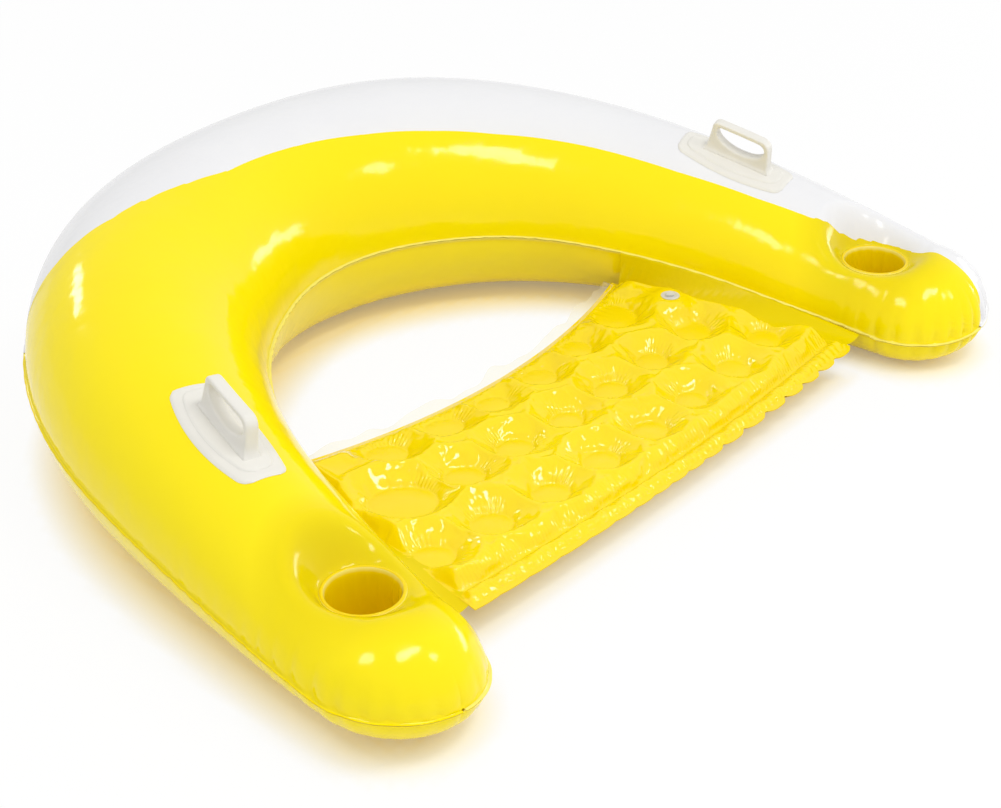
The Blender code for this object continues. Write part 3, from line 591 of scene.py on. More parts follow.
@dataclass
class Tube:
    """Shape of the horseshoe tube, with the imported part's sizes."""

    arm_reach: float = 0.397
    arm_spread: float = 0.544
    back_pull: float = 0.371
    arm_pull: float = 0.459
    arm_toe: float = 0.030
    half_width: float = 0.161
    half_height: float = 0.159
    width_shares: tuple[float, ...] = (0.667, 0.722, 0.892, 1.0, 0.912)
    height_shares: tuple[float, ...] = (0.460, 0.674, 0.848, 0.968, 1.0)
    inner_seam_shares: tuple[float, ...] = (0.66, 0.785, 0.86, 0.85, 0.845)
    contact_angle: float = math.radians(5)
    lip: float = 0.004
    standoff: float = 0.00055
    panel_shares: tuple[tuple[float, float], ...] = (
        (0.316, 0.003),
        (0.320, 0.17),
        (0.325, 0.26),
        (0.333, 0.33),
        (0.345, 0.41),
        (0.365, 0.485),
        (0.395, 0.555),
        (0.430, 0.61),
        (0.50, 0.646),
        (0.56, 0.674),
        (0.62, 0.689),
        (0.68, 0.693),
        (0.76, 0.676),
        (0.83, 0.667),
        (0.89, 0.642),
        (0.905, 0.630),
        (0.92, 0.619),
        (0.93, 0.612),
        (0.936, 0.578),
        (0.944, 0.505),
        (0.952, 0.436),
        (0.96, 0.398),
        (0.97, 0.380),
        (0.98, 0.382),
        (0.99, 0.407),
        (1.0, 0.44),
    )
    panel_end_turn_share: float = 0.38
    cup_spread: float = 0.528
    cup_forward: float = 0.341
    cup_radius: float = 0.043
    cup_rim: float = 0.122
    dimple_start: float = 0.049
    dimple_reach: float = 0.042
    cup_cut: float = 0.0035
    columns: int = 92
    panel_columns: int = 56
    under_columns: int = 72
    close_share: float = 0.115
    close_rows: int = 72
    middle_rows: int = 260
    cap_rows: int = 34
    corner_rows: int = 60
    valve_place: Colour = (0.0, 0.477292, 0.255651)
    valve_axis: Colour = (0.0, 0.838552, 0.544821)
    valve_hole: float = 0.009
    valve_seat: float = 0.0037
    tip_pucker: float = 0.0075
    side_pucker: float = 0.0007
    inner_pucker: float = 0.0002
    tip_draw: float = 0.009
    tip_draw_reach: float = 0.20
    gather_pitch: float = 0.029
    gather_reach: float = 0.034
    fine_pitch: float = 0.0085
    fine_reach: float = 0.010
    tip_gather_reach: float = 0.16
    lip_pitch: float = 0.023
    lip_loss: float = 0.35
    valve_reach: float = 0.04
    thin_reach: tuple[float, float] = (0.07, 0.12)
    # How far the lips are tinted to the seam colour: a painted highlight.
    seam_tone: float = 0.8

    @cached_property
    def spine(self) -> tuple[np.ndarray, np.ndarray, float]:
        """Even places and headings along the +X half of the centreline, and its length.

        Returns:
            Places, headings and the length.
        """
        back = self.arm_reach + self.half_width * (self.width_shares[0] - self.width_shares[-1])
        controls = np.array(
            [
                (0, back),
                (self.back_pull, back),
                (self.arm_spread - self.arm_toe, self.arm_pull - self.arm_reach),
                (self.arm_spread, -self.arm_reach),
            ]
        )
        t = np.linspace(0, 1, 1200)[:, None]
        places = (
            (1 - t) ** 3 * controls[0]
            + 3 * t * (1 - t) ** 2 * controls[1]
            + 3 * t**2 * (1 - t) * controls[2]
            + t**3 * controls[3]
        )
        lengths = np.concatenate([[0], np.cumsum(np.linalg.norm(np.diff(places, axis=0), axis=1))])
        even = np.linspace(0, lengths[-1], len(t))
        places = np.stack([np.interp(even, lengths, places[:, i]) for i in range(2)], axis=1)
        headings = np.gradient(places, axis=0)
        headings[0] = (1, 0)
        headings /= np.linalg.norm(headings, axis=1)[:, None]
        return places, headings, float(lengths[-1])

    @staticmethod
    def eased(shares: Sequence[float], place: np.ndarray) -> np.ndarray:
        """Smooth values of a table of evenly spaced shares, level at its last entry.

        Args:
            shares: The table.
            place: 0 at the first entry to 1 at the last.

        Returns:
            The values at the places.
        """
        table = np.array([2 * shares[0] - shares[1], *shares, shares[-2]])
        spans = len(shares) - 1
        k = np.clip((place * spans).astype(int), 0, spans - 1)
        t = place * spans - k
        rise_start = (table[k + 2] - table[k]) / 2
        rise_end = (table[k + 3] - table[k + 1]) / 2
        square, cube = t * t, t * t * t
        return (
            (2 * cube - 3 * square + 1) * table[k + 1]
            + (cube - 2 * square + t) * rise_start
            + (3 * square - 2 * cube) * table[k + 2]
            + (cube - square) * rise_end
        )

    def rows(self, share: np.ndarray, cap: np.ndarray | None = None) -> Rows:
        """Sections at shares of the way round.

        Args:
            share: 0 at the -X arm's end, 1 at the +X arm's end.
            cap: How far round an arm's rounded end each section lies, as an angle.

        Returns:
            The sections.
        """
        share = np.asarray(share, float)
        cap = np.zeros_like(share) if cap is None else cap
        places, headings, length = self.spine
        side = np.where(share < 0.5, -1.0, 1.0)
        along = np.abs(2 * share - 1)
        index = along * (len(places) - 1)
        count = np.arange(len(places))
        x, y = (np.interp(index, count, places[:, i]) for i in range(2))
        hx, hy = (np.interp(index, count, headings[:, i]) for i in range(2))
        half_width = self.half_width * self.eased(self.width_shares, 1 - along)
        half_height = self.half_height * self.eased(self.height_shares, 1 - along)
        seam = half_height * math.cos(self.contact_angle)
        arc = side * (along * length + np.sin(cap) * half_width)
        return Rows(
            share,
            arc,
            np.stack([side * x, y], axis=1),
            np.stack([-side * hy, hx], axis=1),
            np.stack([side * hx, hy], axis=1),
            half_width,
            half_height,
            seam * (1 - self.eased(self.inner_seam_shares, 1 - along)),
            np.maximum(np.cos(cap), 0.02),
            np.sin(cap),
        )

    def all_rows(self) -> Rows:
        """Sections of the whole tube, closer together at the cups and the ends.

        Returns:
            The sections from the -X tip to the +X tip.
        """
        near = np.linspace(0, self.close_share, self.close_rows)[:-1]
        middle = np.linspace(self.close_share, 1 - self.close_share, self.middle_rows)
        share = np.concatenate([near, middle, 1 - near[::-1]])
        share = np.union1d(share, [place for place, _ in self.panel_shares])
        corner = np.linspace(self.panel_shares[0][0], self.panel_shares[4][0], self.corner_rows)
        share = np.union1d(share, corner)
        caps = np.linspace(0, math.pi / 2, self.cap_rows)[1:]
        share = np.concatenate([np.zeros(len(caps)), share, np.ones(len(caps))])
        cap = np.concatenate([caps[::-1], np.zeros(len(share) - 2 * len(caps)), caps])
        return self.rows(share, cap)

    def panel_edge(self, rows: Rows) -> np.ndarray:
        """The turn at which the white panel meets the yellow sheet on each row.

        Args:
            rows: The sections.

        Returns:
            One turn for each section, 0 where there is no panel.
        """
        table = np.array(self.panel_shares)
        edge = math.pi * np.interp(rows.share, table[:, 0], table[:, 1])
        even = np.convolve(np.pad(edge, 3, mode="edge"), np.full(7, 1 / 7), mode="valid")
        edge = np.where(rows.share > table[4, 0], even, edge)
        edge += (math.pi * self.panel_end_turn_share - edge) * rows.advance**3
        return np.where(rows.share < table[0, 0], 0.0, edge)

    def points(self, rows: Rows, turns: np.ndarray, face: int = 1) -> np.ndarray:
        """Points of the tube's skin.

        Args:
            rows: The sections.
            turns: One line for each section; 0 is the outer seam and half a turn the inner one.
            face: 1 on the upper sheets and -1 on the lower one.

        Returns:
            A grid of points.
        """
        across = rows.shrink[:, None] * np.cos(turns)
        across = across + self.tip_drawn(rows)[:, None] * np.clip(-np.cos(turns), 0, 1)
        plan = rows.centre[:, None] + rows.outward[:, None] * (across * rows.half_width[:, None])[..., None]
        plan = plan + (rows.ahead * (rows.advance * rows.half_width)[:, None])[:, None]
        swell = (self.swell(rows, face) * rows.shrink)[:, None]
        level = self.seam_level(rows, across) + face * self.standoff + swell * np.sin(turns)
        if face > 0:
            level = self.dimpled(plan[..., 0], plan[..., 1], level)
        level = np.maximum(level, 0.0)
        return np.concatenate([plan, level[..., None]], axis=2)

    def tip_drawn(self, rows: Rows) -> np.ndarray:
        """Share of the half width by which an arm's end is drawn in on its inner side.

        Args:
            rows: The sections.

        Returns:
            One share for each section.
        """
        left = self.spine[2] - np.abs(rows.arc)
        near = np.clip(1 - (left + rows.advance * rows.half_width) / self.tip_draw_reach, 0, 1)
        return self.tip_draw / rows.half_width * smooth(near) * rows.shrink

    def seam_level(self, rows: Rows, across: np.ndarray) -> np.ndarray:
        """Level of the seams' plane, which leans from the outer seam, 1, down to the inner, -1."""
        outer = (rows.half_height * math.cos(self.contact_angle))[:, None]
        return outer - rows.drop[:, None] * (1 - across) / 2

    def swell(self, rows: Rows, face: int) -> np.ndarray:
        """How far a sheet swells from the seams' plane.

        Args:
            rows: The sections.
            face: 1 on the upper sheets and -1 on the lower one.

        Returns:
            One height for each section.
        """
        lean, outer = rows.drop / 2, rows.half_height * math.cos(self.contact_angle)
        if face > 0:
            return rows.half_height + lean - self.standoff
        sole = outer - lean * (1 - math.sin(self.contact_angle))
        return (sole - self.standoff) / math.cos(self.contact_angle)

    def normals(self, rows: Rows, turns: np.ndarray, face: int = 1) -> np.ndarray:
        """Directions that point out of the tube, before the cups draw its skin down.

        Args:
            rows: The sections.
            turns: One line for each section.
            face: 1 on the upper sheets and -1 on the lower one.

        Returns:
            Unit vectors, one for each point.
        """
        rise, width = self.swell(rows, face)[:, None], rows.half_width[:, None]
        side = rise * np.cos(turns) - rows.drop[:, None] * np.sin(turns) / 2
        out = rows.outward[:, None] * side[..., None]
        out = np.concatenate([out, (width * np.sin(turns))[..., None]], axis=2)
        return out / np.linalg.norm(out, axis=2, keepdims=True)

    def from_cup(self, x: np.ndarray, y: np.ndarray) -> np.ndarray:
        """Distance on plan to the nearer cup holder's axis."""
        return np.hypot(np.abs(x) - self.cup_spread, y + self.cup_forward)

    def dimpled(self, x: np.ndarray, y: np.ndarray, level: np.ndarray) -> np.ndarray:
        """Draws the upper sheet down to the cup holders' rims.

        Args:
            x: Places across.
            y: Places from front to back.
            level: Heights before the draw.

        Returns:
            The drawn heights.
        """
        rise = pillow(self.from_cup(x, y) - self.dimple_start, self.dimple_reach)
        sunk = self.cup_rim + (level - self.cup_rim) * rise
        return np.where(level > self.cup_rim, sunk, level)

    def seam_gathers(self, rows: Rows, turns: np.ndarray) -> tuple[np.ndarray, np.ndarray]:
        """How deep the gathers are, and how far each point lies from the seam.

        Args:
            rows: The sections.
            turns: One line for each section.

        Returns:
            Depths and distances, one for each point.
        """
        length = self.spine[2]
        size = (0.5 * (rows.half_width + rows.half_height) * rows.shrink)[:, None]
        folded = np.minimum(np.abs(turns), 2 * math.pi - np.abs(turns))
        outer, inner = folded * size, np.abs(math.pi - turns) * size
        tip = np.where(
            rows.advance > 0, np.arccos(np.clip(rows.advance, 0, 1)) * rows.half_width, 1.0
        )[:, None]
        away = np.minimum(np.minimum(outer, inner), tip)
        polar = np.arctan2(
            (rows.advance * rows.half_width)[:, None],
            (rows.half_width * rows.shrink)[:, None] * np.cos(turns),
        )
        straight = np.minimum(np.abs(rows.arc), length)[:, None]
        half = rows.half_width[:, None]
        side = np.where(outer < inner, straight, length + math.pi * half + (length - straight))
        run = np.where(rows.advance[:, None] > 0, length + polar * half, side)
        side_sign = np.sign(rows.arc)[:, None]
        near_tip = 1 - np.clip((length - straight) / self.tip_gather_reach, 0, 1)
        calm = np.where(outer < inner, self.side_pucker, self.inner_pucker)
        depth = calm + (self.tip_pucker - calm) * near_tip**2
        fold = creases(run, self.gather_pitch, 1.3 + side_sign) * depth
        fine = creases(run, self.fine_pitch, 4.2 + side_sign) * calm * 0.6
        gather = fold * np.exp(-((away / self.gather_reach) ** 1.3)) + fine * np.exp(-away / self.fine_reach)
        return gather, away

    def skin(self, rows: Rows, turns: np.ndarray, face: int = 1) -> np.ndarray:
        """The sheet's points with the gathers that the seam leaves in blown-up film.

        Args:
            rows: The sections.
            turns: One line for each section.
            face: 1 on the upper sheets and -1 on the lower one.

        Returns:
            A grid of points.
        """
        points = self.points(rows, turns, face)
        gather, away = self.seam_gathers(rows, turns)
        held = np.clip(away / 0.004, 0, 1)
        normal = grid_normals(points)
        facing = np.sum(normal * self.normals(rows, turns, face), axis=2, keepdims=True)
        moved = points - normal * np.sign(facing) * (gather * held)[..., None]
        moved[..., 2] = np.maximum(moved[..., 2], 0.0)
        return moved

    def with_lips(self, points: np.ndarray, rows: Rows, outer: bool, inner: bool) -> np.ndarray:
        """Adds the seam's flat lip as one more column on the seam's sides.

        Args:
            points: The sheet's grid.
            rows: Its sections.
            outer: Whether the outer side has a lip.
            inner: Whether the inner side has one.

        Returns:
            The wider grid.
        """
        ripple = 1 - self.lip_loss * creases(rows.arc, self.lip_pitch, 2.3)
        wave = 0.0003 * np.sin(rows.arc / 0.006)
        columns = [points]
        for wanted, column, sign in ((outer, 0, 1), (inner, -1, -1)):
            if not wanted:
                continue
            blend = rows.advance**2
            away = sign * rows.outward * (1 - blend)[:, None] + rows.ahead * blend[:, None]
            away /= np.linalg.norm(away, axis=1)[:, None]
            lip = points[:, column].copy()
            lip[:, :2] += away * (self.lip * ripple)[:, None]
            lip[:, 2] += wave
            columns.insert(0 if sign > 0 else len(columns), lip[:, None])
        return np.concatenate(columns, axis=1)

    def place_at(self, along: np.ndarray, across: np.ndarray, share: float) -> tuple[Rows, np.ndarray]:
        """Sections and turns of the -X arm's crest for a flat drawing laid on it.

        Args:
            along: Distances towards the back.
            across: Distances outward from the crest.
            share: The drawing's place on the way round.

        Returns:
            The sections and the turns, one for each point.
        """
        rows = self.rows(share + along / (2 * self.spine[2]))
        turns = np.arccos(np.clip(across / rows.half_width, -1, 1))
        return rows, turns

    def share_at(self, y: float) -> float:
        """The share of the way round at which the -X arm's centreline passes a y.

        Args:
            y: The place from front to back.

        Returns:
            The share.
        """
        places = self.spine[0]
        falls = np.linspace(0, 1, len(places))
        return (1 - float(np.interp(-y, -places[:, 1], falls))) / 2

    def build(self, yellow: bpy.types.Material, white: bpy.types.Material) -> None:
        """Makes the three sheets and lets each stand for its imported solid.

        Args:
            yellow: Finish of the upper and the lower sheet.
            white: Finish of the panel.
        """
        rows = self.all_rows()
        edge = self.panel_edge(rows)
        shares = np.linspace(0, 1, self.columns)
        top = edge[:, None] + (math.pi - edge[:, None]) * shares
        self.add_sheet(Sheet.TOP, rows, top, 1, yellow)
        keep = rows.share >= self.panel_shares[0][0]
        side = edge[keep][:, None] * np.linspace(0, 1, self.panel_columns)
        self.add_sheet(Sheet.PANEL, rows.kept(keep), side, 1, white)
        under = np.linspace(math.pi, 2 * math.pi, self.under_columns)
        self.add_sheet(Sheet.BOTTOM, rows, np.tile(under, (len(rows.share), 1)), -1, yellow)

    def pierced(self, places: np.ndarray, faces: np.ndarray) -> np.ndarray:
        """Flattens the film under the tube's valve and opens a hole that its flange hides.

        Args:
            places: The sheet's points, one to a row; those round the hole are moved in place.
            faces: The sheet's quads.

        Returns:
            The quads that are left.
        """
        axis = np.array(self.valve_axis)
        offset = places - np.array(self.valve_place)
        rise = offset @ axis
        offset -= rise[:, None] * axis
        away = np.linalg.norm(offset, axis=1)
        over = np.where(away < self.valve_reach, np.clip(rise + self.valve_seat, 0, None), 0)
        places -= over[:, None] * axis
        inside = np.linalg.norm(offset[faces].mean(axis=1), axis=1) < self.valve_hole - 0.0005
        rim = np.intersect1d(faces[inside], faces[~inside])
        places[rim] += offset[rim] * (self.valve_hole / away[rim] - 1)[:, None]
        return faces[~inside]

    def add_sheet(
        self, sheet: Sheet, rows: Rows, turns: np.ndarray, face: int, material: bpy.types.Material
    ) -> None:
        """Builds one sheet, with the cups' holes left out.

        Args:
            sheet: Which sheet it is.
            rows: Its sections.
            turns: One line for each section.
            face: 1 on the upper sheets and -1 on the lower one.
            material: Its finish.
        """
        # The lower sheet's columns run from its outer seam inward too.
        points = self.skin(rows, turns, face)[:, ::face]
        points = self.with_lips(points, rows, outer=True, inner=sheet is not Sheet.PANEL)
        if sheet is Sheet.TOP:
            lipped = rows.share >= self.panel_shares[0][0]
            points[lipped, 0] = points[lipped, 1]
        count = points.shape[:2]
        faces = grid_faces(*count)
        flat = points.reshape(-1, 3)
        if sheet is Sheet.TOP:
            x, y, z = flat[faces].mean(axis=1).T
            outside = self.from_cup(x, y) > self.cup_radius + self.cup_cut
            faces = faces[outside | (z < self.cup_rim - 0.03)]
        if sheet is Sheet.PANEL:
            faces = self.pierced(flat, faces)
        name = sheet.value.replace("sheet", "skin").replace("panel", "skin")
        near_cup = np.interp(self.from_cup(points[..., 0], points[..., 1]), self.thin_reach, (1, 0))
        thin = near_cup * (face > 0)
        # The seam trait marks the lips for a painted highlight, paler than the film.
        seam = np.zeros(count)
        seam[:, :2] = self.seam_tone if sheet is not Sheet.TOP else 0.0
        seam[:, -2:] = 0.0 if sheet is Sheet.PANEL else self.seam_tone
        obj = mesh_object(name, points, faces.tolist(), material, {"thin": thin, "seam": seam})
        drop_loose(obj)
        with edited(obj.data) as bm:
            bmesh.ops.dissolve_degenerate(bm, edges=bm.edges, dist=1e-6)
            bmesh.ops.recalc_face_normals(bm, faces=bm.faces)
        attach(obj, CHAIR_BODY)
        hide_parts(sheet.value)


# Cup holders


@dataclass
class CupHolder:
    """A drinks well hung from the tube's upper sheet, with gathers down its wall."""

    label: str
    side: int
    tube: Tube
    depth: float = 0.083
    wall: float = 0.0006
    waist: float = 0.0025
    bead: float = 0.0050
    bead_height: float = 0.0022
    pleat: float = 0.0022
    pleat_pitch: float = 0.0155
    floor_gap: float = 0.0008
    floor_lip: float = 0.006
    sides: int = 144

    def ring(self, profile: Sequence[tuple[float, float]], pleat: Sequence[float]) -> np.ndarray:
        """Turns a profile about the cup's axis, gathered by each point's pleat depth.

        Args:
            profile: Radius and height of each ring.
            pleat: Depth of the gathers on each ring.

        Returns:
            The rings, one line of points for each.
        """
        angle = np.linspace(0, 2 * math.pi, self.sides, endpoint=False)
        fold = creases(angle * self.tube.cup_radius, self.pleat_pitch, 3.1 + self.side)
        fold[-4:] *= np.linspace(1, 0, 4)
        rings = []
        for (radius, height), depth in zip(profile, pleat):
            r = radius - depth * fold
            x = self.side * self.tube.cup_spread + r * np.cos(angle)
            y = -self.tube.cup_forward + r * np.sin(angle)
            rings.append(np.stack([x, y, np.full_like(x, self.tube.cup_rim + height)], axis=1))
        return np.stack(rings)

    def build(self, material: bpy.types.Material) -> None:
        """Makes the wall with its rolled rim, and the floor.

        Args:
            material: Their finish, a deeper yellow that paints the wells' shade.
        """
        radius = self.tube.cup_radius
        roll = [
            (radius + self.bead * (0.5 - 0.5 * math.cos(a)), self.bead_height * math.sin(a))
            for a in np.linspace(math.pi, 0, 9)
        ]
        steps = np.linspace(0, 1, 22)[1:]
        inner = radius - self.wall
        wall = [(inner - self.waist * math.sin(math.pi * t) ** 0.6, -self.depth * t) for t in steps]
        profile = roll + wall
        pleat = [self.pleat * math.sin(math.pi * min(t * 1.15, 1)) ** 0.5 for t in steps]
        points = self.ring(profile, [0.0] * len(roll) + pleat)
        faces = grid_faces(len(profile), self.sides, closed=True).tolist()
        # The rolled rim's rows are tinted paler through the seam trait: a painted highlight on the bead.
        pale = np.zeros(points.shape[:2])
        pale[[0, 1, 7, 8]] = 1.0
        wall_obj = mesh_object(f"cup_liner_{self.label}", points, faces, material, {"seam": pale})
        self.seat(wall_obj, f"cup_wall_{self.label}")
        edge, foot = inner - self.floor_gap, 0.0006 - self.depth
        disc = [(edge, self.floor_lip - self.depth), (edge - 0.0004, foot + 0.0014), (edge - 0.002, foot)]
        disc += [(edge * t, foot + 0.0008 * (1 - t)) for t in (0.9, 0.7, 0.5, 0.3, 0.12)]
        disc += [(0.0005, foot + 0.0009)]
        floor = self.ring(disc, [0.0] * len(disc))
        faces = grid_faces(len(disc), self.sides, closed=True).tolist()
        floor_obj = mesh_object(f"cup_base_{self.label}", floor, faces, material)
        self.seat(floor_obj, f"cup_floor_{self.label}")

    @staticmethod
    def seat(obj: bpy.types.Object, node: str) -> None:
        """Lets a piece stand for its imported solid.

        Args:
            obj: The piece.
            node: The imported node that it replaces.
        """
        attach(obj, CHAIR_BODY)
        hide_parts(node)


# Grab handles


@dataclass
class Handle:
    """A grab handle: a patch welded on the arm's crest and a loop moulded on a plate."""

    label: str
    side: int
    tube: Tube
    forward: float = 0.108
    patch_length: float = 0.168
    patch_width: float = 0.082
    patch_end: float = 0.058
    patch_thickness: float = 0.0022
    plate_inset: float = 0.011
    plate_thickness: float = 0.0018
    grip_base: float = 0.106
    grip_top: float = 0.090
    grip_height: float = 0.049
    grip_width: float = 0.0115
    grip_foot: float = 0.018
    grip_corner: float = 0.012
    grip_bar: float = 0.0075
    grip_sill: float = 0.013
    grip_forward: float = 0.004
    grip_rake: float = 0.006
    grip_bevel: float = 0.0024
    clearance: float = 0.0003
    plate_lift: float = 0.0004
    plate_corner: float = 0.012
    plate_roll: float = 0.003
    plate_grid: tuple[int, int] = (60, 26)
    longest_edge: float = 0.006
    crisp_angle: float = math.radians(50)

    def laid(self, flat: np.ndarray) -> np.ndarray:
        """Lays points (along, across, height) of the flat drawing on this side's arm.

        Args:
            flat: The points, one to a row.

        Returns:
            Their places in the row frame.
        """
        rows, turns = self.tube.place_at(flat[:, 0], flat[:, 1], self.tube.share_at(-self.forward))
        out = self.tube.normals(rows, turns[:, None])[:, 0]
        points = self.tube.points(rows, turns[:, None])[:, 0] + out * flat[:, 2:3]
        points[:, 0] *= -self.side
        return points

    def plate(self, length: float, width: float, end: float, low: float, high: float) -> tuple:
        """A thin plate with bowed sides, clipped corners and a rolled edge.

        Args:
            length: From end to end.
            width: Across its middle.
            end: Across its ends.
            low: Height of its edge.
            high: Height of its face.

        Returns:
            Its points and its quads.
        """
        u, v = (np.linspace(-1, 1, count) for count in self.plate_grid)
        half = (end + (width - end) * (1 - u**2)) / 2
        to_end = (1 - np.abs(u)) * length / 2
        clip = np.clip(to_end / self.plate_corner, 0, 1)
        half = half - self.plate_corner * 0.9 * (1 - np.sqrt(1 - (1 - clip) ** 2))
        x = np.repeat((u * length / 2)[:, None], len(v), axis=1)
        y = half[:, None] * v[None, :]
        rim = np.minimum((1 - np.abs(v))[None, :] * half[:, None], to_end[:, None])
        z = low + (high - low) * np.sqrt(1 - (1 - np.clip(rim / self.plate_roll, 0, 1)) ** 2)
        flat = np.stack([x, y, z], axis=2).reshape(-1, 3)
        return flat, grid_faces(*self.plate_grid).tolist()

    def arch(self, half: float, top: float, radius: float, count: int) -> list[tuple[float, float]]:
        """Two rounded corners under a straight bar, leaning back with the loop.

        Args:
            half: Half of the bar's length.
            top: Height of the bar.
            radius: Radius of the corners.
            count: Points on each corner.

        Returns:
            The points, from front to back.
        """
        points = []
        for side, start in ((1, 0.0), (-1, math.pi / 2)):
            along, up = side * (half - radius) - self.grip_rake, top - radius
            for a in np.linspace(start, start + math.pi / 2, count):
                points.append((along + radius * math.cos(a), up + radius * math.sin(a)))
        return points

    def outline(self) -> list[tuple[float, float]]:
        """The loop's outer line, seen from the arm's side.

        Returns:
            Its corners, from the front foot to the back one.
        """
        foot = self.grip_base / 2
        points = [(foot, 0.0), (foot - 0.004, 0.004), (foot - 0.007, 0.010)]
        points += self.arch(self.grip_top / 2, self.grip_height, self.grip_corner, 9)
        return points + [(0.003 - foot, 0.006), (-foot, 0.0)]

    def hole(self) -> list[tuple[float, float]]:
        """The finger gap: straight under the bar, with a belly below.

        Returns:
            Its corners.
        """
        half = self.grip_top / 2 - self.grip_bar
        top, radius = self.grip_height - self.grip_bar, self.grip_corner - self.grip_bar / 2
        points = self.arch(half, top, radius, 6)
        brim = top - radius
        belly = brim - self.grip_sill
        for a in np.linspace(math.pi, 0, 17)[1:-1]:
            points.append((half * math.cos(a) - self.grip_rake, brim - belly * math.sin(a)))
        return points

    def loop(self, base: float) -> tuple[np.ndarray, list]:
        """The loop as a filled flat outline with soft edges, thicker at its foot.

        Args:
            base: Height at which it stands on the plate.

        Returns:
            Its points, laid flat, and its faces.
        """
        curve = bpy.data.curves.new("grip", "CURVE")
        curve.dimensions = "2D"
        curve.fill_mode = "BOTH"
        curve.bevel_depth = self.grip_bevel
        curve.bevel_resolution = 3
        curve.extrude = self.grip_width / 2 - curve.bevel_depth
        curve.offset = -curve.bevel_depth
        for points in (self.outline(), self.hole()):
            spline = curve.splines.new("POLY")
            spline.points.add(len(points) - 1)
            for point, (x, y) in zip(spline.points, points):
                point.co = (x, y, 0, 1)
            spline.use_cyclic_u = True
        drawing = linked("grip", curve)
        graph = bpy.context.evaluated_depsgraph_get()
        mesh = bpy.data.meshes.new_from_object(drawing.evaluated_get(graph))
        bpy.data.objects.remove(drawing)
        with edited(mesh) as bm:
            bmesh.ops.remove_doubles(bm, verts=bm.verts, dist=0.00002)
            bmesh.ops.triangulate(bm, faces=[f for f in bm.faces if len(f.verts) > 4])
            for _ in range(2):
                longer = [e for e in bm.edges if e.calc_length() > self.longest_edge]
                bmesh.ops.subdivide_edges(bm, edges=longer, cuts=1)
                bmesh.ops.triangulate(bm, faces=[f for f in bm.faces if len(f.verts) > 4])
        co = np.array([v.co for v in mesh.vertices])
        faces = [list(f.vertices) for f in mesh.polygons]
        below = np.clip(1 - co[:, 1] / self.grip_height, 0, 1)
        flare = 1 + (self.grip_foot / self.grip_width - 1) * below**1.5
        foot = 1 + 0.55 * np.exp(-np.clip(co[:, 1], 0, None) / 0.0028)
        flat = np.stack([co[:, 0] - self.grip_forward, -co[:, 2] * flare * foot, base + co[:, 1]], axis=1)
        return flat, faces

    def build(self, material: bpy.types.Material) -> None:
        """Makes the patch and the grip, and lets them stand for their solids.

        Args:
            material: Their finish.
        """
        size = self.patch_length, self.patch_width, self.patch_end
        flat, faces = self.plate(*size, self.clearance, self.clearance + self.patch_thickness)
        patch = mesh_object(f"grab_patch_{self.label}", self.laid(flat), faces, material)
        low = self.patch_thickness + self.plate_lift
        inner = [length - 2 * self.plate_inset for length in size]
        flat, faces = self.plate(*inner, low, low + self.plate_thickness)
        plate_points = self.laid(flat)
        loop_flat, loop_faces = self.loop(low + self.plate_thickness * 0.6)
        points = np.concatenate([plate_points, self.laid(loop_flat)])
        shift = len(plate_points)
        faces += [[k + shift for k in f] for f in loop_faces]
        grip = mesh_object(f"grab_grip_{self.label}", points, faces, material)
        grip.data.set_sharp_from_angle(angle=self.crisp_angle)
        for obj, node in ((patch, "patch"), (grip, "grip")):
            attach(obj, CHAIR_BODY)
            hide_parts(f"handle_{node}_{self.label}")


# Seat mat


@dataclass(frozen=True)
class Weld:
    """A round weld, placed on the mat's flat pattern."""

    x: float
    y: float
    radius: float = 0.026


@dataclass(frozen=True)
class Wave:
    """An even wave: its height, the distance in which it turns one radian, and its phase."""

    height: float
    length: float
    phase: float = 0.0

    def at(self, x: np.ndarray) -> np.ndarray:
        """Values of the wave at some places."""
        return self.height * np.sin(x / self.length + self.phase)


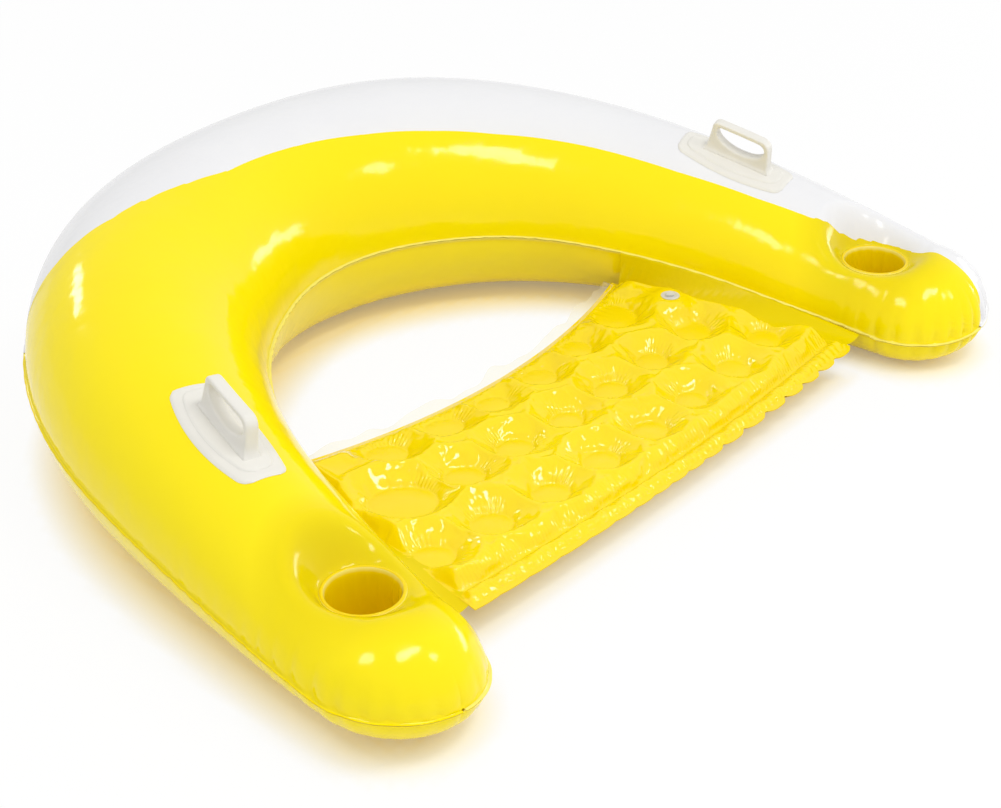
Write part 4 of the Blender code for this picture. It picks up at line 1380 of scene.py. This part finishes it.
@dataclass
class Mat:
    """The quilted seat: two films joined by round welds, a front roll and a clear back edge."""

    level: float = 0.050
    front: float = 0.392
    back: float = 0.012
    front_half: float = 0.403
    back_half: float = 0.338
    front_bow: float = 0.015
    back_bow: float = 0.060
    hem: float = 0.009
    side_hem: float = 0.004
    side_reach: float = 0.013
    rise: float = 0.027
    reach: float = 0.036
    roll_line: float = 0.357
    flange: float = 0.016
    valve: tuple[float, float] = (0.318, -0.124)
    pad: float = 0.017
    across: int = 163
    deep: int = 79
    finer: int = 4
    slack: float = -0.022
    pressure: float = 5.0
    cap: float = 0.012
    frames: int = 20
    film_gap: float = 0.0005
    dome: float = 0.0020
    scallop: tuple[float, float] = (0.004, 0.010)
    scallop_pitch: float = 0.045
    roll_weld: float = 0.002
    comb_pitch: float = 0.0043
    comb_height: float = 0.0012
    comb_start: float = 0.002
    comb_reach: float = 0.012
    comb_end: float = 0.05
    roll_comb_reach: float = 0.008
    hem_comb_reach: float = 0.010
    valve_bore: float = 0.0085
    edge_inset: float = 0.004
    edge_overlap: float = 0.006
    edge_extra: float = 0.004
    edge_rise: float = 0.0006
    edge_grid: tuple[int, int] = (14, 300)
    edge_wander: tuple[Wave, ...] = (Wave(0.0035, 0.027, 0.4), Wave(0.0022, 0.0113))
    edge_ripple: tuple[Wave, ...] = (Wave(0.0045, 0.0195, 0.8), Wave(0.0022, 0.0088))
    edge_lift: float = 0.003
    welds: tuple[Weld, ...] = (
        Weld(-0.230, -0.060),
        Weld(-0.134, -0.056),
        Weld(-0.048, -0.058, 0.024),
        Weld(0.048, -0.060),
        Weld(0.142, -0.056, 0.025),
        Weld(0.254, -0.060, 0.034),
        Weld(-0.297, -0.168, 0.040),
        Weld(-0.205, -0.172),
        Weld(-0.113, -0.167),
        Weld(-0.016, -0.171, 0.024),
        Weld(0.083, -0.168),
        Weld(0.182, -0.172, 0.025),
        Weld(0.292, -0.178, 0.028),
        Weld(-0.357, -0.283, 0.024),
        Weld(-0.262, -0.279),
        Weld(-0.164, -0.283, 0.025),
        Weld(-0.065, -0.279),
        Weld(0.034, -0.282),
        Weld(0.133, -0.280, 0.024),
        Weld(0.238, -0.282),
        Weld(0.338, -0.278, 0.025),
    )

    def half(self, y: np.ndarray) -> np.ndarray:
        """Half of the mat's width at a place from front to back."""
        share = (y + self.front) / (self.front - self.back)
        return self.front_half + (self.back_half - self.front_half) * share

    def bowed(self, x: np.ndarray, y: np.ndarray) -> np.ndarray:
        """Where a point of the flat pattern lies from front to back once the mat hangs.

        Args:
            x: Places across.
            y: Places from front to back on the pattern.

        Returns:
            Places from front to back in the row frame.
        """
        share = -(y + self.back) / (self.front - self.back)
        slack = self.back_bow + (self.front_bow - self.back_bow) * share
        return y - slack * (1 - np.clip(x / self.half(y), -1, 1) ** 2)

    def plan(self) -> tuple[np.ndarray, np.ndarray]:
        """A grid over the flat pattern, with its front edge scalloped by the film's pull.

        Returns:
            Places across and places from front to back.
        """
        u = np.linspace(-1, 1, self.across)
        v = np.linspace(0, 1, self.deep)
        v, u = np.meshgrid(v, u, indexing="ij")
        run = u * self.front_half
        depth = np.interp(run, (-0.05, 0.20), self.scallop)
        front = depth * creases(run, self.scallop_pitch, 0.4) - self.front
        y = front + (-self.back - front) * v
        return u * self.half(y), y

    def gap(self, x: np.ndarray, y: np.ndarray) -> tuple[np.ndarray, np.ndarray, np.ndarray]:
        """Distances on the flat pattern to the nearest round weld, hem and front line.

        Args:
            x: Places across.
            y: Places from front to back.

        Returns:
            The three distances.
        """
        spot = np.min([np.hypot(x - w.x, y - w.y) - w.radius for w in self.welds], axis=0)
        ends = np.minimum(y + self.front, -self.back - y) - self.hem
        sides = (self.half(y) - np.abs(x) - self.side_hem) * self.reach / self.side_reach
        return spot, np.minimum(ends, sides), np.abs(y + self.roll_line) - self.roll_weld

    def swollen(self, x: np.ndarray, y: np.ndarray, fill: float) -> np.ndarray:
        """Height of the film over the weld plane, a share of the cells' full height.

        Args:
            x: Places across.
            y: Places from front to back.
            fill: The share.

        Returns:
            The heights.
        """
        spot, hem, line = self.gap(x, y)
        shape = pillow(spot, self.reach) * pillow(hem, self.reach) * pillow(line, self.reach * 0.7)
        return self.rise * fill * shape

    def blown(self, points: np.ndarray, held: np.ndarray) -> np.ndarray:
        """Blows the upper film up between its welds by cloth simulation.

        Args:
            points: The film's grid before it is blown up.
            held: 1 where the film is welded down.

        Returns:
            The grid with the gathers that the slack film forms, its moves capped.
        """
        film = mesh_object("film", points, grid_faces(*points.shape[:2]).tolist())
        group = film.vertex_groups.new(name="held")
        group.add(np.flatnonzero(held.ravel() > 0.5).tolist(), 1.0, "REPLACE")
        cloth = film.modifiers.new("air", "CLOTH")
        settings = cloth.settings
        settings.quality = 6
        settings.mass = 0.12
        settings.tension_stiffness = settings.compression_stiffness = 25.0
        settings.shear_stiffness = 8.0
        settings.bending_stiffness = 0.6
        settings.use_pressure = True
        settings.uniform_pressure_force = self.pressure
        settings.shrink_min = self.slack
        settings.vertex_group_mass = group.name
        settings.effector_weights.gravity = 0.0
        cloth.point_cache.frame_start, cloth.point_cache.frame_end = 1, self.frames
        scene = bpy.context.scene
        for frame in range(1, self.frames + 1):
            scene.frame_set(frame)
        graph = bpy.context.evaluated_depsgraph_get()
        done = film.evaluated_get(graph).data
        moved = np.empty(len(done.vertices) * 3)
        done.vertices.foreach_get("co", moved)
        scene.frame_set(1)
        bpy.data.objects.remove(film)
        shift = moved.reshape(points.shape) - points
        wider = np.pad(shift, ((1, 1), (1, 1), (0, 0)), mode="edge")
        beside = wider[:-2, 1:-1] + wider[2:, 1:-1] + wider[1:-1, :-2] + wider[1:-1, 2:]
        shift = np.where(held[..., None], shift, 0.5 * shift + 0.125 * beside)
        length = np.linalg.norm(shift, axis=2, keepdims=True)
        return points + shift * np.minimum(1, self.cap / np.maximum(length, 1e-9))

    def combed(self, x: np.ndarray, y: np.ndarray) -> np.ndarray:
        """Fine gathers that stand off the welds and the seams, as a height.

        Args:
            x: Places across.
            y: Places from front to back.

        Returns:
            The heights.
        """
        _, hem, line = self.gap(x, y)
        wrinkle = np.zeros_like(x)
        for k, weld in enumerate(self.welds):
            away = np.hypot(x - weld.x, y - weld.y) - weld.radius
            angle = np.arctan2(y - weld.y, x - weld.x)
            count = round(2 * math.pi * weld.radius / self.comb_pitch)
            comb = np.cos(count * angle + 1.9 * np.sin(2 * angle + k) + k)
            patchy = np.clip(0.15 + np.sin(2 * angle + 1.3 * k) + 0.5 * np.sin(5 * angle + 2.1 * k), 0, 1.2)
            ring = np.clip(away / self.comb_start, 0, 1)
            ring = ring * np.exp(-((np.clip(away, 0, None) / self.comb_reach) ** 1.4))
            wrinkle += np.where(away < self.comb_end, comb * patchy * ring, 0)
        seam = np.clip(line / self.comb_start, 0, 1)
        seam = seam * np.exp(-np.clip(line, 0, None) / self.roll_comb_reach)
        stroke = np.cos(x / 0.00095 + 1.7 * np.sin(x / 0.019))
        wrinkle += 1.2 * seam * stroke * (0.6 + 0.4 * np.sin(x / 0.031))
        edge = np.clip(hem / self.comb_start, 0, 1)
        edge = edge * np.exp(-np.clip(hem, 0, None) / self.hem_comb_reach)
        wrinkle += 0.8 * edge * np.cos(x / 0.0019 + 1.4 * np.sin(x / 0.023))
        return self.comb_height * wrinkle

    def build(self, yellow: bpy.types.Material, clear: bpy.types.Material) -> None:
        """Makes the upper and the lower film and the clear edge behind them.

        Args:
            yellow: Finish of the quilted films.
            clear: Finish of the edge.
        """
        x, y = self.plan()
        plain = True
        lift = self.swollen(x, y, 0.8 if plain else 1.0)
        lowest = self.level + self.film_gap
        upper = np.stack([x, self.bowed(x, y), lowest + lift], axis=2)
        gap = np.min(self.gap(x, y), axis=0)
        if plain:
            upper = self.blown(upper, gap <= 0.001)
        x, y, gap = refined(x, self.finer), refined(y, self.finer), refined(gap, self.finer)
        upper = refined(upper, self.finer)
        far = np.hypot(x - self.valve[0], y - self.valve[1])
        keep = smooth(np.clip((far - self.pad) / 0.03, 0, 1))
        height = upper[..., 2] + self.combed(x, y)
        for weld in self.welds:
            share = np.hypot(x - weld.x, y - weld.y) / weld.radius
            height += self.dome * np.clip(1 - share**2, 0, 1)
        flat_pad = lowest + self.rise
        upper[..., 2] = np.maximum(flat_pad + (height - flat_pad) * keep, lowest)
        faces = grid_faces(*x.shape)
        faces = faces[far.ravel()[faces].mean(axis=1) > self.valve_bore].tolist()
        welded = np.clip(1 - gap / 0.001, 0, 1) * keep
        quilt = mesh_object("seat_quilt_upper", upper, faces, yellow, {"weld": welded})
        x, y = self.plan()
        drop = self.level - self.film_gap - self.swollen(x, y, 1.0)
        lower = refined(np.stack([x, self.bowed(x, y), drop], axis=2), 2)
        faces = grid_faces(*lower.shape[:2])[:, ::-1].tolist()
        under = mesh_object("seat_quilt_lower", lower, faces, yellow)
        pieces = (quilt, "seat_top_sheet", "yellow_film"), (under, "seat_bottom_sheet", "clear_film")
        for obj, node, slot in pieces:
            drop_loose(obj)
            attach(obj, CHAIR_BODY)
            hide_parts(node)
        self.build_flange(clear)

    def build_flange(self, clear: bpy.types.Material) -> None:
        """The clear film that stands out behind the mat, wavy along its free edge.

        Args:
            clear: Its finish.
        """
        rows, columns = self.edge_grid
        t, s = np.meshgrid(np.linspace(0, 1, rows), np.linspace(-1, 1, columns), indexing="ij")
        x = s * (self.back_half - self.edge_inset)
        width = self.flange + self.edge_extra + sum(wave.at(x) for wave in self.edge_wander)
        y = self.bowed(x, np.full_like(x, -self.back)) - self.edge_overlap + width * t
        ripple = sum(wave.at(x) for wave in self.edge_ripple) + self.edge_lift
        z = self.level + self.edge_rise + t**1.5 * ripple
        faces = grid_faces(rows, columns).tolist()
        obj = mesh_object("seat_clear_edge", np.stack([x, y, z], axis=2), faces, clear)
        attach(obj, CHAIR_BODY)


@dataclass
class Bands:
    """The strips of film that tie the mat's sides to the tube's inner seam."""

    tube: Tube
    mat: Mat
    front: float = 0.380
    back: float = 0.026
    sections: int = 900
    step: int = 3
    fold: float = 0.0036
    fold_pitch: float = 0.011
    bow: float = 0.0015
    sag: float = 0.003
    back_reach: float = 0.04

    def build(self, material: bpy.types.Material) -> None:
        """Makes a band on each side.

        Args:
            material: Their finish, a deeper yellow that paints the shade in the crease.
        """
        rows = self.tube.rows(np.linspace(0.0, 0.5, self.sections))
        seam = rows.centre - rows.outward * rows.half_width[:, None]
        keep = (seam[:, 1] > -self.front) & (seam[:, 1] < -self.back) & (seam[:, 0] < -0.2)
        level = self.tube.seam_level(rows, np.full((self.sections, 1), -1.0))[keep, 0][:: self.step]
        seam, outward = seam[keep][:: self.step], rows.outward[keep][:: self.step]
        t = np.linspace(0, 1, 26)
        for side, label in ((-1, "left"), (1, "right")):
            lines = []
            for place, out, high in zip(seam, outward, level):
                start = np.array([*(place + out * 0.002), high])
                lip = np.array([*(place - out * self.tube.lip), high])
                half = float(self.mat.half(np.array(place[1])))
                end = np.array([-half + 0.004, place[1], self.mat.level + 0.0009])
                run = lip + (end - lip) * t[:, None]
                fold = creases(place[1] - 0.015 * t, self.fold_pitch, 2.0 + side)
                near_back = np.exp((place[1] + self.back) / self.back_reach)
                depth = self.bow + self.fold * fold * (0.25 + near_back)
                run[:, 0] -= np.sin(math.pi * t) * depth
                run[:, 2] -= self.sag * np.sin(math.pi * t)
                tab = end + np.array([1.0, 0, 0]) * np.linspace(0.002, 0.007, 4)[:, None]
                lines.append(np.concatenate([[start], run, tab]))
            points = np.array(lines)
            points[..., 0] *= -side
            faces = grid_faces(*points.shape[:2]).tolist()
            obj = mesh_object(f"seat_strip_{label}", points, faces, material)
            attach(obj, CHAIR_BODY)
            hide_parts(f"seat_band_{label}")


# Light, floor and camera


@dataclass(frozen=True)
class Lamp:
    """A soft oval lamp: where it hangs, its width and height, and its power in watts."""

    name: str
    place: Colour
    size: tuple[float, float]
    power: float


@dataclass
class Studio:
    """Pale floor, soft light and the photograph's camera."""

    camera_place: Colour = (-1.7004, -1.5380, 1.3436)
    camera_aim: Colour = (0.65421, 0.55933, -0.50907)
    lens: float = 68.72
    floor_size: float = 60.0
    ambient: float = 0.88
    shade_lift: float = 0.30
    open_lift: float = 0.92
    shade_inset: float = 0.045
    shade_width: float = 0.062
    floor_level: float = -0.0004
    fine_half: float = 1.1
    lamp_aim: Colour = (0.0, -0.1, 0.15)
    lamps: tuple[Lamp, ...] = (
        Lamp("key", (-0.05, -1.55, 2.85), (1.5, 0.55), 28.0),
        Lamp("fore", (0.95, -2.1, 2.2), (0.5, 0.4), 6.0),
        Lamp("side", (-1.75, -0.35, 2.6), (0.5, 0.7), 9.0),
        Lamp("rear", (-0.3, 2.7, 1.5), (0.6, 0.35), 6.0),
        Lamp("low", (2.9, -0.8, 0.55), (1.5, 0.4), 10.0),
    )

    def camera(self) -> None:
        """Sets the camera as it stood for the photograph."""
        data = bpy.data.cameras.new("camera")
        data.lens = self.lens
        data.sensor_width = 36.0
        data.clip_end = 200.0
        camera = linked("camera", data)
        camera.location = self.camera_place
        camera.rotation_euler = Vector(self.camera_aim).to_track_quat("-Z", "Y").to_euler()
        bpy.context.scene.camera = camera

    def floor(self, tube: Tube, mat: Mat) -> None:
        """A wide pale floor, white in the open, that keeps the shadow close to the object and paints it warm
        yellow there.

        Args:
            tube: The tube that shades it.
            mat: The mat that shades it.
        """
        shader = Shader.material("studio_floor")
        cloud = shader.noise(1.5, 2.0)
        tone = shader.mix(cloud * 0.3, (0.94, 0.94, 0.94, 1), (0.92, 0.92, 0.92, 1))
        # Close to the object the floor's colour is tinted warm yellow: a painted shadow tint.
        near = shader.trait("open") ** 0.5
        tone = shader.mix(near, (0.97, 0.82, 0.40, 1), tone)
        body = shader.node(
            "ShaderNodeBsdfPrincipled",
            inputs={"Base Color": tone, "Roughness": 1.0, "Specular IOR Level": 0.0},
        )
        # The glow is warm yellow close to the object too: painted warm light in the shadow.
        painted_shadow_glow = shader.mix(near, (1.0, 0.86, 0.55, 1), (1.0, 1.0, 1.0, 1))
        white = shader.node("ShaderNodeEmission", inputs={"Color": painted_shadow_glow, "Strength": 1.0})
        lift = shader.trait("open") * (self.open_lift - self.shade_lift) + self.shade_lift
        both = shader.node("ShaderNodeMixShader", inputs={0: lift * shader.seen(), 1: body, 2: white})
        fine, far = np.linspace(-self.fine_half, self.fine_half, 141), self.floor_size / 2
        line = np.concatenate([[-far], fine, [far]])
        x, y = np.meshgrid(line, line, indexing="ij")
        rows = tube.rows(np.linspace(0, 1, 160))
        away = np.full(x.shape, np.inf)
        for (cx, cy), reach in zip(rows.centre, rows.half_width):
            away = np.minimum(away, np.hypot(x - cx, y - cy) - reach)
        beside = np.maximum(np.abs(x) - mat.front_half, np.maximum(-mat.front - y, y + mat.back_bow))
        away = np.minimum(away, beside)
        clear = np.clip((away + self.shade_inset) / self.shade_width, 0, 1)
        points = np.stack([x, y, np.full_like(x, self.floor_level)], axis=2)
        faces = grid_faces(*x.shape).tolist()
        floor = mesh_object("studio_floor", points, faces, shader.close(both), {"open": clear**1.5})

    def world(self) -> None:
        """Even pale surroundings: white to the camera, plain light on the object."""
        shader = Shader(bpy.data.worlds.new("studio"))
        strength = shader.node("ShaderNodeMix", inputs={0: shader.seen(), 2: self.ambient, 3: 1.0})
        light = shader.node("ShaderNodeBackground", inputs={"Strength": strength})
        bpy.context.scene.world = shader.close(light)

    def hang(self, lamp: Lamp) -> None:
        """Hangs a lamp so that it faces the object.

        Args:
            lamp: The lamp.
        """
        data = bpy.data.lights.new(lamp.name, "AREA")
        data.shape = "ELLIPSE"
        data.size, data.size_y = lamp.size
        data.energy = lamp.power
        obj = linked(lamp.name, data)
        obj.location = lamp.place
        facing = Vector(self.lamp_aim) - Vector(lamp.place)
        obj.rotation_euler = facing.to_track_quat("-Z", "Y").to_euler()

    def build(self, tube: Tube, mat: Mat) -> None:
        """Sets everything round the object.

        Args:
            tube: The tube that shades the floor.
            mat: The mat that shades the floor.
        """
        self.camera()
        self.floor(tube, mat)
        self.world()
        for lamp in self.lamps:
            self.hang(lamp)
        bpy.context.scene.view_settings.view_transform = "Standard"


def dress_valves(nodes: dict[str, bpy.types.Object], material: bpy.types.Material) -> None:
    """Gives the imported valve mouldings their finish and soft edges.

    Args:
        nodes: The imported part's objects by name.
        material: The finish.
    """
    for name, obj in nodes.items():
        if "_valve_" not in name:
            continue
        for slot in obj.material_slots:
            slot.material = material
        soften = obj.modifiers.new("soften", "BEVEL")
        soften.width = VALVE_EDGE
        soften.segments = 2
        soften.limit_method = "ANGLE"
        soften.angle_limit = VALVE_EDGE_ANGLE


def main() -> None:
    """Loads the frame, dresses every piece and sets the scene."""
    logging.basicConfig(level=logging.INFO, format="%(message)s")
    for obj in list(bpy.data.objects):
        bpy.data.objects.remove(obj)
    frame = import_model()
    yellow, quilt, white, clear = YELLOW.make(), QUILT_YELLOW.make(), WHITE.make(), CLEAR.make()
    shaded_liner, shaded_strip = SHADED_LINER_YELLOW.make(), SHADED_STRIP_YELLOW.make()
    cream, valve = CREAM.make(), VALVE.make()
    tube = Tube()
    steps: list[tuple[str, Callable[[], None]]] = [("tube", lambda: tube.build(yellow, white))]
    for side, label in ((-1, "left"), (1, "right")):
        cup, handle = CupHolder(label, side, tube), Handle(label, side, tube)
        steps.append((f"cup holder {label}", lambda cup=cup: cup.build(shaded_liner)))
        steps.append((f"handle {label}", lambda handle=handle: handle.build(cream)))
    mat = Mat()
    steps.append(("mat", lambda: mat.build(quilt, clear)))
    steps.append(("bands", lambda: Bands(tube, mat).build(shaded_strip)))
    steps.append(("valves", lambda: dress_valves(frame["nodes"], valve)))
    steps.append(("studio", lambda: Studio().build(tube, mat)))
    for name, step in steps:
        step()
        LOG.info("made the %s", name)


if __name__ == "__main__":
    main()
